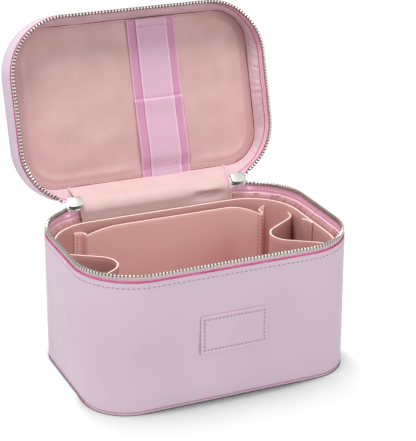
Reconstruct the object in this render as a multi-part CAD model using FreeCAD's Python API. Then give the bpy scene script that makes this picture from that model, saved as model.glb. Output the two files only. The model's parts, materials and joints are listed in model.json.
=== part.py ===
"""Zip-around makeup train case, lid open.

Frame: millimetres, +Z up, origin on the floor under the middle of the body, front towards -Y.
Everything on the lid is drawn shut, above the body, and then swung open about the hinge axis.
"""
import FreeCAD, Part
import math
import os

Vec = FreeCAD.Vector

# Outline of the case
WIDTH = 230.0
DEPTH = 157.0
CORNER_RADIUS = 50.0
BODY_HEIGHT = 112.0
LID_HEIGHT = 25.0
OPEN_ANGLE = 106.0

# Layers of the body and lid walls
LEATHER = 1.2
WALL_BOARD = 2.0
LINING = 0.8
BASE_COVER = 2.4
BASE_BOARD = 2.0
BASE_EDGE_BEVEL = 0.8
LID_FOAM = 3.6
LID_BOARD = 2.0
LID_EDGE_BEVEL = 3.0
LID_LINING_DRAFT = 5.0
SEW_GAP = 0.1

# Zip
ZIP_GAP = 12.0
TAPE = 0.8
TAPE_SEWN = 9.0
LINING_DROP = 2.5
TOOTH_PITCH = 2.84
TOOTH_WIDTH = 1.2
TOOTH_THICK = 2.6
TOOTH_FOOT = 3.1
TOOTH_MESH = 0.5
TOOTH_TAPER = 0.4

# Sliders and their pulls
SLIDER_LENGTH = 13.0
SLIDER_WIDTH = 10.0
SLIDER_PLATE = 1.2
SLIDER_CHANNEL = 2.8
SLIDER_FLANGE = 0.8
SLIDER_POST = 3.0
SLIDER_NOSE = 5.0
SLIDER_BEVEL = 1.2
SLIDER_FROM_HINGE = 0.5
SLIDER_TO_TEETH = 0.8
BAIL_INNER = 3.0
BAIL_BAR = 1.2
BAIL_WIDTH = 2.4
PULL_LENGTH = 28.0
PULL_WIDTH = 8.0
PULL_THICK = 1.5
PULL_BAR = 1.3
PULL_EYE_LENGTH = 4.2
PULL_EYE_WIDTH = 4.4
PULL_WAIST = 5.6
PULL_NECK = 10.0
PULL_PIVOT_HEIGHT = 1.4

# Hinge
HINGE_INTO_CORNER = 2.5
HINGE_STRIP = 1.0
HINGE_SEWN = 12.0
HINGE_CREASE_RADIUS = 2.5
HINGE_LINING = 0.6
HINGE_LINING_RADIUS = 9.0
HINGE_LINING_DROP = 24.0
HINGE_LINING_CLEAR = 0.3

# Front patch
PATCH_WIDTH = 58.0
PATCH_HEIGHT = 32.5
PATCH_THICK = 1.4
PATCH_CORNER = 3.0
PATCH_CENTRE_Z = 59.0

# Elastic and handle on the lid
ELASTIC = 1.0
ELASTIC_WIDE = 44.0
ELASTIC_NARROW = 28.0
ELASTIC_OFFSET = 19.5
ELASTIC_END_GAP = 1.5
HANDLE_LENGTH = 136.0
HANDLE_SEWN = 24.0
HANDLE_RISE = 22.0
HANDLE_SLOPE = 24.0
HANDLE_WIDTH = 22.0
HANDLE_THICK = 3.2
HANDLE_FOOT_BEND = 14.0
HANDLE_GRIP_BEND = 26.0

# Insert and its pockets
INSERT_CLEAR = 3.0
INSERT_FLOOR_CLEAR = 0.3
INSERT_SHEET = 1.6
INSERT_DROP = 7.0
INSERT_LAP = 12.0
INSERT_LAP_END_Y = 8.0
POCKET_SHEET = 1.4
POCKET_SEAT = 0.1
BACK_POCKET_GAP = 7.0
BACK_POCKET_DROP = 3.0
BACK_POCKET_END_DROP = 7.0
BACK_POCKET_CURVE = 30.0
BACK_POCKET_LEFT_INTO_CORNER = 5.0
BACK_POCKET_LEFT_FLANGE = 10.0
BACK_POCKET_RIGHT_INTO_CORNER = 20.0
BACK_POCKET_RIGHT_FLANGE = 6.5
BACK_POCKET_TURN_BEND = 40.0
BACK_POCKET_FOLD = 1.6
SIDE_POCKET_ROOT = 66.0
SIDE_POCKET_NOSE = 18.0
SIDE_POCKET_DEPTH = 37.5
SIDE_POCKET_Y = -3.0
SIDE_POCKET_DROP = 6.0
SIDE_POCKET_BEND = 12.0
SIDE_POCKET_FLANGE = 9.0
SIDE_POCKET_FOLD = 8.0

# Places that follow from the sizes above
PARTING = BODY_HEIGHT + ZIP_GAP / 2
LID_RIM = BODY_HEIGHT + ZIP_GAP
LID_TOP = LID_RIM + LID_HEIGHT
HINGE_Y = DEPTH / 2 + SEW_GAP + HINGE_STRIP / 2
CORNER_START_X = WIDTH / 2 - CORNER_RADIUS
HINGE_HALF = CORNER_START_X + HINGE_INTO_CORNER
WALL = LEATHER + WALL_BOARD + LINING
TAPE_INSET = LEATHER + SEW_GAP
ZIP_INSET = TAPE_INSET + TAPE / 2
FLOOR_TOP = BASE_COVER + BASE_BOARD + LINING
LID_SEAM = LID_TOP - LEATHER - LID_FOAM
LID_PANEL = LID_SEAM - LID_BOARD - LINING
SLIDER_X = HINGE_HALF + SLIDER_FROM_HINGE + SLIDER_LENGTH / 2
TEETH_START_X = SLIDER_X + SLIDER_LENGTH / 2 + SLIDER_TO_TEETH
INSERT_INSET = WALL + INSERT_CLEAR
INSERT_BOTTOM = FLOOR_TOP + INSERT_FLOOR_CLEAR
INSERT_FLOOR_TOP = INSERT_BOTTOM + INSERT_SHEET
INSERT_TOP = BODY_HEIGHT - INSERT_DROP
POCKET_INSET = INSERT_INSET + INSERT_SHEET + POCKET_SEAT + POCKET_SHEET / 2
BACK_POCKET_LEFT = CORNER_START_X + BACK_POCKET_LEFT_INTO_CORNER
BACK_POCKET_RIGHT = CORNER_START_X + BACK_POCKET_RIGHT_INTO_CORNER
BIG = 4 * max(WIDTH, DEPTH, BODY_HEIGHT)


def save(name, *solids):
    """Write one piece, or a group of like pieces, to its own file."""
    shape = solids[0] if len(solids) == 1 else Part.makeCompound(list(solids))
    shape.exportStep(os.path.join("parts", name + ".step"))


def box(x, y, z):
    """A block from three (low, high) spans."""
    return Part.makeBox(x[1] - x[0], y[1] - y[0], z[1] - z[0], Vec(x[0], y[0], z[0]))


def plan_wire(inset, z):
    """The rounded rectangle of the case, a given distance inside its outline."""
    half_x = WIDTH / 2 - inset
    half_y = DEPTH / 2 - inset
    radius = CORNER_RADIUS - inset
    slant = radius * math.sqrt(0.5)
    edges = []
    corners = [(1, 1), (-1, 1), (-1, -1), (1, -1)]
    for index, (sx, sy) in enumerate(corners):
        centre = Vec(sx * (half_x - radius), sy * (half_y - radius), z)
        side = centre + Vec(sx * radius, 0, 0)
        end = centre + Vec(0, sy * radius, 0)
        middle = centre + Vec(sx * slant, sy * slant, 0)
        first, last = (side, end) if sx == sy else (end, side)
        edges.append(Part.Arc(first, middle, last).toShape())
        next_x, next_y = corners[(index + 1) % 4]
        next_centre = Vec(next_x * (half_x - radius), next_y * (half_y - radius), z)
        step = Vec(0, next_y * radius, 0) if next_x != next_y else Vec(next_x * radius, 0, 0)
        edges.append(Part.LineSegment(last, next_centre + step).toShape())
    return Part.Wire(edges)


def plan_solid(inset, low, high):
    return Part.Face(plan_wire(inset, low)).extrude(Vec(0, 0, high - low))


def plan_band(outer, inner, low, high):
    """A wall round the case between two insets."""
    return plan_solid(outer, low, high).cut(plan_solid(inner, low, high))


def wall_reach(across, half_across, half_along, inset):
    """How far out a wall stands at one place along it, where it runs straight or into a corner."""
    into_corner = max(0, abs(across) - (half_across - CORNER_RADIUS))
    radius = CORNER_RADIUS - inset
    return half_along - CORNER_RADIUS + math.sqrt(radius ** 2 - into_corner ** 2)


def back_wall_y(x, inset):
    return wall_reach(x, WIDTH / 2, DEPTH / 2, inset)


def side_wall_x(y, inset):
    return wall_reach(y, DEPTH / 2, WIDTH / 2, inset)


def rim_edges(solid, z):
    """The edges that lie at one height."""
    return [e for e in solid.Edges if max(abs(e.BoundBox.ZMin - z), abs(e.BoundBox.ZMax - z)) < 1e-6]


def turned(shape, angle):
    """A copy swung about the hinge axis, positive towards open."""
    copy = shape.copy()
    copy.rotate(Vec(0, HINGE_Y, PARTING), Vec(-1, 0, 0), angle)
    return copy


def opened(shape):
    return turned(shape, OPEN_ANGLE)


def upper(shape):
    """The lid's half of the zip: the body's half, mirrored in the parting plane."""
    return shape.mirror(Vec(0, 0, PARTING), Vec(0, 0, 1))


def left_hand(shape):
    return shape.mirror(Vec(0, 0, 0), Vec(1, 0, 0))


def side_offset(points, distance):
    """A line of 2-D points moved sideways, to the left for a positive distance."""
    count = len(points)
    moved = []
    for i, point in enumerate(points):
        before = (point - points[i - 1]).normalize() if i > 0 else None
        after = (points[i + 1] - point).normalize() if i < count - 1 else None
        first = before or after
        second = after or before
        left = Vec(-first.y - second.y, first.x + second.x, 0).normalize()
        spread = left.dot(Vec(-first.y, first.x, 0))
        moved.append(point + left * (distance / spread))
    return moved


def rounded_edges(points, radii):
    """Straight runs joined by tangent arcs; radii holds one radius for each inner point."""
    edges = []
    start = points[0]
    for i in range(1, len(points) - 1):
        back = (points[i - 1] - points[i]).normalize()
        ahead = (points[i + 1] - points[i]).normalize()
        half = back.getAngle(ahead) / 2
        reach = radii[i - 1] / math.tan(half)
        bisector = (back + ahead).normalize()
        middle = points[i] + bisector * (radii[i - 1] / math.sin(half) - radii[i - 1])
        first = points[i] + back * reach
        last = points[i] + ahead * reach
        edges.append(Part.LineSegment(start, first).toShape())
        edges.append(Part.Arc(first, middle, last).toShape())
        start = last
    edges.append(Part.LineSegment(start, points[-1]).toShape())
    return edges


def ribbon(points, radii, thick, low, high):
    """A bent sheet: its middle line in plan, its thickness, and its span across."""
    line = [Vec(x, y, low) for x, y in points]
    turns = []
    for i in range(1, len(line) - 1):
        turn = (line[i] - line[i - 1]).cross(line[i + 1] - line[i]).z
        turns.append(1 if turn > 0 else -1)
    sides = []
    for hand in (1, -1):
        side = side_offset(line, hand * thick / 2)
        radius = [r - hand * t * thick / 2 for r, t in zip(radii, turns)]
        sides.append((side, rounded_edges(side, radius)))
    (left, left_edges), (right, right_edges) = sides
    caps = [Part.LineSegment(left[i], right[i]).toShape() for i in (0, -1)]
    wire = Part.Wire(Part.__sortEdges__(left_edges + right_edges + caps))
    return Part.Face(wire).extrude(Vec(0, 0, high - low))


def stood_across_x(shape):
    """Plan drawing (u, v) with height w becomes a profile in Y and Z that runs along X."""
    shape.Placement = FreeCAD.Placement(FreeCAD.Matrix(0, 0, 1, 0, 1, 0, 0, 0, 0, 1, 0, 0, 0, 0, 0, 1))
    return shape


def stood_across_y(shape):
    """Plan drawing (u, v) with height w becomes a profile in X and Z that runs along -Y."""
    shape.Placement = FreeCAD.Placement(FreeCAD.Matrix(1, 0, 0, 0, 0, 0, -1, 0, 0, 1, 0, 0, 0, 0, 0, 1))
    return shape


def swung_point(y, z):
    """Where a point of the shut lid lies once the lid is open, as (y, z)."""
    angle = math.radians(OPEN_ANGLE)
    dy = y - HINGE_Y
    dz = z - PARTING
    return (HINGE_Y + dy * math.cos(angle) + dz * math.sin(angle),
            PARTING - dy * math.sin(angle) + dz * math.cos(angle))


def hinge_zone(half, low, high):
    """The space at the back between two sides, for cutting the zip away there."""
    return box((-half, half), (DEPTH / 2 - CORNER_RADIUS, BIG), (low, high))


# Body of the case

def base_cover():
    plate = plan_solid(0, 0, BASE_COVER)
    return plate.makeChamfer(BASE_EDGE_BEVEL, rim_edges(plate, 0))


def base_board():
    return plan_solid(LEATHER, BASE_COVER, BASE_COVER + BASE_BOARD)


def body_wall():
    return plan_band(0, LEATHER, BASE_COVER, BODY_HEIGHT)


def body_wall_board():
    """Board inside the wall; it stops where the zip tape is sewn in."""
    return plan_band(LEATHER, LEATHER + WALL_BOARD, BASE_COVER + BASE_BOARD, BODY_HEIGHT - TAPE_SEWN)


def body_lining():
    outer = LEATHER + WALL_BOARD
    cup = plan_solid(outer, FLOOR_TOP - LINING, BODY_HEIGHT - LINING_DROP)
    return cup.cut(plan_solid(WALL, FLOOR_TOP, BODY_HEIGHT))


def body_zip_tape():
    top = PARTING - TOOTH_FOOT
    tape = plan_band(TAPE_INSET, TAPE_INSET + TAPE, BODY_HEIGHT - TAPE_SEWN, top)
    tape = tape.cut(hinge_zone(HINGE_HALF, 0, BIG))
    return tape.cut(hinge_zone(TEETH_START_X, BODY_HEIGHT, BIG))


def zip_run():
    """The zip's line from the right end of the teeth, round the front, to the left end."""
    inset = ZIP_INSET
    radius = CORNER_RADIUS - inset
    cx = CORNER_START_X
    cy = DEPTH / 2 - CORNER_RADIUS
    first = math.asin((TEETH_START_X - cx) / radius)
    corner = radius * (math.pi / 2 - first)
    side = 2 * cy
    quarter = radius * math.pi / 2
    half = corner + side + quarter + cx

    def place(s):
        """Point and outward angle from +Y, clockwise, on the right half of the run."""
        if s < corner:
            angle = first + s / radius
            return cx + radius * math.sin(angle), cy + radius * math.cos(angle), angle
        s -= corner
        if s < side:
            return cx + radius, cy - s, math.pi / 2
        s -= side
        if s < quarter:
            angle = math.pi / 2 + s / radius
            return cx + radius * math.sin(angle), -cy + radius * math.cos(angle), angle
        s -= quarter
        return cx - s, -cy - radius, math.pi

    def whole(s):
        if s <= half:
            return place(s)
        x, y, angle = place(2 * half - s)
        return -x, y, -angle

    return whole, 2 * half


def tooth():
    """One tooth at the origin: a foot that grips the tape and a narrower head that meshes."""
    half = TOOTH_THICK / 2
    head = half - TOOTH_TAPER
    profile = [(-half, -TOOTH_FOOT), (half, -TOOTH_FOOT), (head, TOOTH_MESH), (-head, TOOTH_MESH)]
    wire = Part.makePolygon([Vec(-TOOTH_WIDTH / 2, y, z) for y, z in profile + profile[:1]])
    return Part.Face(wire).extrude(Vec(TOOTH_WIDTH, 0, 0))


def zip_teeth(shift):
    """A row of teeth from slider to slider, moved along by a share of the pitch.

    The lid's row lies half a pitch along, in the gaps of the body's, and so has one tooth less.
    """
    whole, length = zip_run()
    gaps = round((length - TOOTH_WIDTH) / TOOTH_PITCH)
    pitch = (length - TOOTH_WIDTH) / gaps
    count = gaps if shift else gaps + 1
    blank = tooth()
    teeth = []
    for i in range(count):
        x, y, angle = whole(TOOTH_WIDTH / 2 + (i + shift) * pitch)
        one = blank.copy()
        turn = FreeCAD.Rotation(Vec(0, 0, 1), -math.degrees(angle))
        one.Placement = FreeCAD.Placement(Vec(x, y, PARTING), turn)
        teeth.append(one)
    return teeth


def front_patch():
    width = PATCH_WIDTH / 2
    height = PATCH_HEIGHT / 2
    front = -DEPTH / 2
    low = PATCH_CENTRE_Z - height
    high = PATCH_CENTRE_Z + height
    patch = box((-width, width), (front - PATCH_THICK, front), (low, high))
    upright = [e for e in patch.Edges if e.BoundBox.YLength > PATCH_THICK / 2]
    return patch.makeFillet(PATCH_CORNER, upright)


# Hinge

def hinge_strip():
    """Strip sewn outside to the body and the lid, creased along the hinge axis."""
    low = (HINGE_Y, BODY_HEIGHT - HINGE_SEWN)
    crease = (HINGE_Y, PARTING)
    far = swung_point(HINGE_Y, LID_RIM + HINGE_SEWN)
    strip = ribbon([low, crease, far], [HINGE_CREASE_RADIUS], HINGE_STRIP, -HINGE_HALF, HINGE_HALF)
    return stood_across_x(strip)


def hinge_lining():
    """Panel from the lid's lining seam over the hinge and down behind the insert."""
    inside = HINGE_LINING_CLEAR + HINGE_LINING / 2
    back = DEPTH / 2 - WALL - inside
    rim = swung_point(back, LID_RIM + LINING_DROP)
    seam = swung_point(back - LID_LINING_DRAFT, LID_PANEL - inside)
    slope = (seam[1] - rim[1]) / (seam[0] - rim[0])
    corner = (back, rim[1] + slope * (back - rim[0]))
    low = (back, BODY_HEIGHT - HINGE_LINING_DROP)
    panel = ribbon([low, corner, seam], [HINGE_LINING_RADIUS], HINGE_LINING, -HINGE_HALF, HINGE_HALF)
    return stood_across_x(panel)


# Lid, drawn shut

def lid_wall():
    return plan_band(0, LEATHER, LID_RIM, LID_SEAM)


def lid_top_block(inset):
    """The padded top above its seam with the wall, or the same form one layer further in."""
    high = LID_TOP - inset
    block = plan_solid(inset, LID_SEAM, high)
    bevel = LID_EDGE_BEVEL - inset * (2 - math.sqrt(2))
    return block.makeChamfer(bevel, rim_edges(block, high))


def lid_top_cover():
    return lid_top_block(0).cut(lid_top_block(LEATHER))


def lid_foam():
    return lid_top_block(LEATHER + SEW_GAP)


def lid_top_board():
    return plan_solid(LEATHER, LID_SEAM - LID_BOARD, LID_SEAM)


def lid_wall_board():
    return plan_band(LEATHER, LEATHER + WALL_BOARD, LID_RIM + TAPE_SEWN, LID_PANEL + LINING)


def lid_lining_panel():
    return plan_solid(LEATHER + WALL_BOARD, LID_PANEL, LID_PANEL + LINING)


def lid_lining_band():
    """Side lining: it leans in from the rim to its seam with the panel."""
    low = LID_RIM + LINING_DROP

    def leaning(inset):
        wires = [plan_wire(inset, low), plan_wire(inset + LID_LINING_DRAFT, LID_PANEL)]
        return Part.makeLoft(wires, True, True)

    return leaning(LEATHER + WALL_BOARD).cut(leaning(WALL))


def elastic(width, layer):
    """One layer of elastic on the lid's lining, from the front seam to the back seam."""
    reach = DEPTH / 2 - WALL - LID_LINING_DRAFT - ELASTIC_END_GAP
    high = LID_PANEL - layer * ELASTIC
    x = (ELASTIC_OFFSET - width / 2, ELASTIC_OFFSET + width / 2)
    return box(x, (-reach, reach), (high - ELASTIC, high))


def handle_strap():
    """Bent strap on the lid, its two ends sewn flat."""
    end = HANDLE_LENGTH / 2
    foot = end - HANDLE_SEWN
    top = foot - HANDLE_SLOPE
    low = LID_TOP + HANDLE_THICK / 2
    high = low + HANDLE_RISE
    points = [(-end, low), (-foot, low), (-top, high), (top, high), (foot, low), (end, low)]
    bends = [HANDLE_FOOT_BEND, HANDLE_GRIP_BEND, HANDLE_GRIP_BEND, HANDLE_FOOT_BEND]
    strap = ribbon(points, bends, HANDLE_THICK, -HANDLE_WIDTH / 2, HANDLE_WIDTH / 2)
    return stood_across_y(strap)


# Sliders, drawn shut on the right-hand end of the zip

def slider_place():
    """Middle of the slider on the zip's line."""
    return Vec(SLIDER_X, back_wall_y(SLIDER_X, ZIP_INSET), PARTING)


def slider_plate(y):
    """Shield-shaped plate, blunt at the tail and wide at the nose."""
    tail = -SLIDER_LENGTH / 2
    nose = SLIDER_LENGTH / 2
    wide = SLIDER_WIDTH / 2
    slim = wide - SLIDER_FLANGE
    shoulder = nose - SLIDER_NOSE
    outline = [(tail, -slim), (shoulder, -wide), (nose, -slim), (nose, slim), (shoulder, wide), (tail, slim)]
    wire = Part.makePolygon([Vec(x, y, z) for x, z in outline + outline[:1]])
    plate = Part.Face(wire).extrude(Vec(0, SLIDER_PLATE, 0))
    corners = [e for e in plate.Edges if e.BoundBox.YLength > SLIDER_PLATE / 2]
    return plate.makeChamfer(SLIDER_BEVEL, corners)


def slider():
    """One casting: two plates, the wedge between them, turned-in flanges and the bail for the pull."""
    half = SLIDER_CHANNEL / 2
    inner = slider_plate(-half - SLIDER_PLATE)
    outer = slider_plate(half)
    nose = SLIDER_LENGTH / 2
    post = box((nose - SLIDER_NOSE, nose - SLIDER_PLATE), (-half, half), (-SLIDER_POST / 2, SLIDER_POST / 2))
    body = inner.fuse([outer, post])
    tail = -SLIDER_LENGTH / 2
    for side in (-1, 1):
        slim = side * (SLIDER_WIDTH / 2 - SLIDER_FLANGE)
        z = sorted((slim, slim - side * SLIDER_FLANGE))
        for y in ((-half, -half + SLIDER_FLANGE), (half - SLIDER_FLANGE, half)):
            body = body.fuse(box((tail + SLIDER_BEVEL, nose - SLIDER_NOSE), y, z))
    face = half + SLIDER_PLATE
    ring = Part.makeCylinder(BAIL_INNER + BAIL_BAR, BAIL_WIDTH, Vec(0, face, -BAIL_WIDTH / 2), Vec(0, 0, 1))
    hole = Part.makeCylinder(BAIL_INNER, BAIL_WIDTH, Vec(0, face, -BAIL_WIDTH / 2), Vec(0, 0, 1))
    bail = ring.cut(hole).common(box((-BIG, BIG), (face, BIG), (-BIG, BIG)))
    body = body.fuse(bail).removeSplitter()
    body.translate(slider_place())
    return body


def pull():
    """Pull tab: a bar under the bail, an eye round it, and a waisted tab that points outwards."""
    pivot = SLIDER_CHANNEL / 2 + SLIDER_PLATE + PULL_PIVOT_HEIGHT
    low = pivot - PULL_BAR / 2
    wide = PULL_WIDTH / 2
    waist = PULL_WAIST / 2
    neck = low + PULL_NECK
    end = low + PULL_LENGTH
    outline = [(low, -wide), (neck, -waist), (end, -wide), (end, wide), (neck, waist), (low, wide)]
    wire = Part.makePolygon([Vec(-PULL_THICK / 2, y, z) for y, z in outline + outline[:1]])
    tab = Part.Face(wire).extrude(Vec(PULL_THICK, 0, 0))
    ends = [e for e in tab.Edges if e.BoundBox.XLength > PULL_THICK / 2 and e.BoundBox.YMin > end - PULL_BAR]
    tab = tab.makeFillet(PULL_WAIST / 2, ends)
    eye_low = low + PULL_BAR
    eye_half = PULL_EYE_WIDTH / 2
    eye = box((-PULL_THICK, PULL_THICK), (eye_low, eye_low + PULL_EYE_LENGTH), (-eye_half, eye_half))
    tab = tab.cut(eye)
    tab.translate(slider_place())
    return tab


# Insert

def insert_wall():
    """Loose wall round the insert, with the lap where its two ends are sewn together."""
    inner = INSERT_INSET + INSERT_SHEET
    wall = plan_band(INSERT_INSET, inner, INSERT_BOTTOM, INSERT_TOP)
    face = WIDTH / 2 - inner
    lap_y = (INSERT_LAP_END_Y - INSERT_LAP, INSERT_LAP_END_Y)
    lap = box((face - INSERT_SHEET, face), lap_y, (INSERT_FLOOR_TOP, INSERT_TOP))
    return wall.fuse(lap).removeSplitter()


def insert_floor():
    return plan_solid(INSERT_INSET + INSERT_SHEET, INSERT_BOTTOM, INSERT_FLOOR_TOP)


def inside_insert():
    """The room between the insert's walls, a sewing gap clear of them."""
    return plan_solid(INSERT_INSET + INSERT_SHEET + POCKET_SEAT, INSERT_FLOOR_TOP, INSERT_TOP)


def back_pocket():
    """Panel in front of the back wall, folded at both ends and sewn to the wall by flanges.

    Its right end turns with the corner of the case, and its top edge falls away towards both folds.
    """
    def seat(x):
        return (x, back_wall_y(x, POCKET_INSET))

    panel = back_wall_y(0, POCKET_INSET) - BACK_POCKET_GAP
    end = back_wall_y(BACK_POCKET_RIGHT, POCKET_INSET) - BACK_POCKET_GAP
    left = -BACK_POCKET_LEFT
    right = BACK_POCKET_RIGHT
    points = [seat(left - BACK_POCKET_LEFT_FLANGE), seat(left), (left, panel)]
    points += [(CORNER_START_X, panel), (right, end)]
    points += [seat(right), seat(right + BACK_POCKET_RIGHT_FLANGE)]
    folds = [BACK_POCKET_FOLD] * 2
    bends = folds + [BACK_POCKET_TURN_BEND] + folds
    high = INSERT_TOP - BACK_POCKET_DROP
    sheet = ribbon(points, bends, POCKET_SHEET, INSERT_FLOOR_TOP, high)
    return sheet.cut(edge_fall(left, -1, high)).cut(edge_fall(right, 1, high)).common(inside_insert())


def edge_fall(fold, side, high):
    """What the falling end of the back pocket's top edge leaves empty, on one side."""
    inner = fold - side * BACK_POCKET_CURVE
    low = high - BACK_POCKET_END_DROP
    radius = (BACK_POCKET_CURVE ** 2 + BACK_POCKET_END_DROP ** 2) / (2 * BACK_POCKET_END_DROP)
    half_way = BACK_POCKET_CURVE / 2
    bulge = Vec(inner + side * half_way, 0, high - radius + math.sqrt(radius ** 2 - half_way ** 2))
    corners = [Vec(inner, 0, high), Vec(side * BIG, 0, high), Vec(side * BIG, 0, low), Vec(fold, 0, low)]
    edges = [Part.LineSegment(a, b).toShape() for a, b in zip(corners, corners[1:])]
    edges.append(Part.Arc(corners[-1], bulge, corners[0]).toShape())
    return Part.Face(Part.Wire(edges)).extrude(Vec(0, BIG, 0))


def side_pocket():
    """Looped strip on the right wall: sewn flanges, folds away from the wall, and a blunt nose."""
    def seat(y):
        return (side_wall_x(y, POCKET_INSET), y)

    tip = WIDTH / 2 - INSERT_INSET - INSERT_SHEET - SIDE_POCKET_DEPTH
    root = SIDE_POCKET_ROOT / 2
    nose = SIDE_POCKET_NOSE / 2
    middle = SIDE_POCKET_Y
    points = [seat(middle + root + SIDE_POCKET_FLANGE), seat(middle + root), (tip, middle + nose)]
    points += [(tip, middle - nose), seat(middle - root), seat(middle - root - SIDE_POCKET_FLANGE)]
    bends = [SIDE_POCKET_FOLD, SIDE_POCKET_BEND, SIDE_POCKET_BEND, SIDE_POCKET_FOLD]
    strip = ribbon(points, bends, POCKET_SHEET, INSERT_FLOOR_TOP, INSERT_TOP - SIDE_POCKET_DROP)
    return strip.common(inside_insert())


def build():
    os.makedirs("parts", exist_ok=True)

    save("base_cover", base_cover())
    save("base_board", base_board())
    save("body_wall", body_wall())
    save("body_wall_board", body_wall_board())
    save("body_lining", body_lining())
    save("body_zip_tape", body_zip_tape())
    save("body_zip_teeth", *zip_teeth(0))
    save("front_patch", front_patch())
    save("hinge_strip", hinge_strip())
    save("hinge_lining", hinge_lining())

    save("lid_wall", opened(lid_wall()))
    save("lid_top_cover", opened(lid_top_cover()))
    save("lid_foam", opened(lid_foam()))
    save("lid_top_board", opened(lid_top_board()))
    save("lid_wall_board", opened(lid_wall_board()))
    save("lid_lining_panel", opened(lid_lining_panel()))
    save("lid_lining_band", opened(lid_lining_band()))
    save("lid_zip_tape", opened(upper(body_zip_tape())))
    save("lid_zip_teeth", *[opened(upper(one)) for one in zip_teeth(0.5)])
    save("elastic_wide", opened(elastic(ELASTIC_WIDE, 0)))
    save("elastic_narrow", opened(elastic(ELASTIC_NARROW, 1)))
    save("handle_strap", opened(handle_strap()))

    half_open = OPEN_ANGLE / 2
    for side, hand in (("right", lambda shape: shape), ("left", left_hand)):
        save("slider_" + side, turned(hand(slider()), half_open))
        save("pull_" + side, turned(hand(pull()), half_open))

    save("insert_wall", insert_wall())
    save("insert_floor", insert_floor())
    save("back_pocket", back_pocket())
    save("right_pocket", side_pocket())
    save("left_pocket", left_hand(side_pocket()))


build()
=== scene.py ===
"""Looks of the zip-around makeup train case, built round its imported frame.

Metres, +Z up, front towards -Y. Lid pieces are drawn shut and then swung open about the hinge.
"""
import json
import math

import bmesh
import bpy
from mathutils import Matrix, Vector, noise


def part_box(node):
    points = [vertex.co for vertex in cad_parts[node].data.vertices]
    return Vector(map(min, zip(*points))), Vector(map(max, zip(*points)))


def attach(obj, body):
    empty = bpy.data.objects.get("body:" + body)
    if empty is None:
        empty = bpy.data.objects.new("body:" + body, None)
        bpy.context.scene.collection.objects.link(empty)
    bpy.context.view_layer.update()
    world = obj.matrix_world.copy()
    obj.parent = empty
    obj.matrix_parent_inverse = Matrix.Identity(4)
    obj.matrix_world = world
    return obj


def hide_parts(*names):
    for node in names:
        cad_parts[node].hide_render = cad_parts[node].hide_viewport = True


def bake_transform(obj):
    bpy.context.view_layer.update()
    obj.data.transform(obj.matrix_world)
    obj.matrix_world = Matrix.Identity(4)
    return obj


MM = 0.001

# Camera, from the photograph's view of the case
FOCAL_PIXELS = 1551.4
PHOTO_LONG_SIDE = 441
SENSOR = 36.0
VIEW_AZIMUTH = math.radians(-24.4)
VIEW_ELEVATION = math.radians(21.95)
VIEW_ROLL = math.radians(0.473)
VIEW_DISTANCE = 1254.6 * MM
VIEW_TARGET = Vector((11.785, 0, 120.177)) * MM

# Layers of the case that the boxes of its nodes don't give
CORNER_RADIUS = 50 * MM
LEATHER = 1.2 * MM
WALL_BOARD = 2.0 * MM
LINING = 0.8 * MM
WALL = LEATHER + WALL_BOARD + LINING
LINING_DROP = 4 * MM
ROLLED_EDGE = 2.4 * MM
TURNED_EDGE = 0.5 * MM
BASE_EDGE = 0.8 * MM
BASE_CORNER = 36 * MM
BASE_NARROWER = 3.0 * MM
BASE_SHALLOWER = 3.0 * MM
BOARD_ROUND = 0.2 * MM

# Patch on the front
PATCH_CORNER = 2 * MM
PATCH_ROUND = 0.5 * MM
PATCH_GROOVE = 0.4 * MM
PATCH_GROOVE_WIDTH = 0.9 * MM
PATCH_STITCH_INSET = 3.3 * MM
PATCH_STITCH_SINK = 0.65 * PATCH_GROOVE

# Padded top of the lid: its upright edge, then the reach and rise, in mm, of each step up to its middle
LID_TOP_EDGE = 2.9 * MM
LID_TOP_ROUND = 0.5 * MM
LID_TOP_STEPS = ((0.3, 0.55), (0.6, 0.45), (1.0, 0.3), (2.0, 0.25), (4.0, 0.2), (8.0, 0.1), (10.0, 0.05))

# Gathered and hemmed edge of the linings
GATHER = 2.6 * MM
GATHER_SIZE = 2.6 * MM
GATHER_MEAN = 0.5
GATHER_START = 1.5 * MM
GATHER_FADE_FROM = 5 * MM
GATHER_FADE_TO = 16 * MM
GATHER_CLEAR_FROM = 2 * MM
GATHER_CLEAR_TO = 10 * MM
GATHER_DEPTH = 24 * MM
LINING_FOOT = 40 * MM
LEAN_FROM = 0.5 * MM
LEAN_TO = 6 * MM
HEM_CORD = 0.5 * MM
HEM_WAVE = 0.7 * MM
HEM_WAVE_SIZE = 13 * MM
HEM_WAVE_FADE = 8 * MM

# Lining of the lid
LID_LINING_DROP = 5.5 * MM
LID_SEAM_SIDE = 7.5 * MM
LID_SEAM_FRONT = 9 * MM
LID_SEAM_BACK = 12 * MM
LID_SEAM_CORNER = 30 * MM
LID_SEAM_WAVER = 0.5 * MM
LID_SEAM_WAVER_SIZE = 24 * MM
BAND_WAVE_FADE = 0.5
PANEL_WRINKLE = 1.3 * MM
PANEL_WRINKLE_MEAN = 0.45
PANEL_WRINKLE_FROM = 3 * MM
PANEL_WRINKLE_TO = 20 * MM
PANEL_HELD = 1 * MM
PANEL_LOOSE = 18 * MM
PANEL_ROLL = 0.7 * MM
PANEL_ROLL_INSET = 8 * MM
PANEL_ROLL_WIDTH = 3 * MM

# Width, height, layer of noise and share of the panel's broad and fine wrinkles
PANEL_WRINKLES = ((34 * MM, 20 * MM, 1.7, 0.6), (11 * MM, 16 * MM, 5.1, 0.15))

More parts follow.
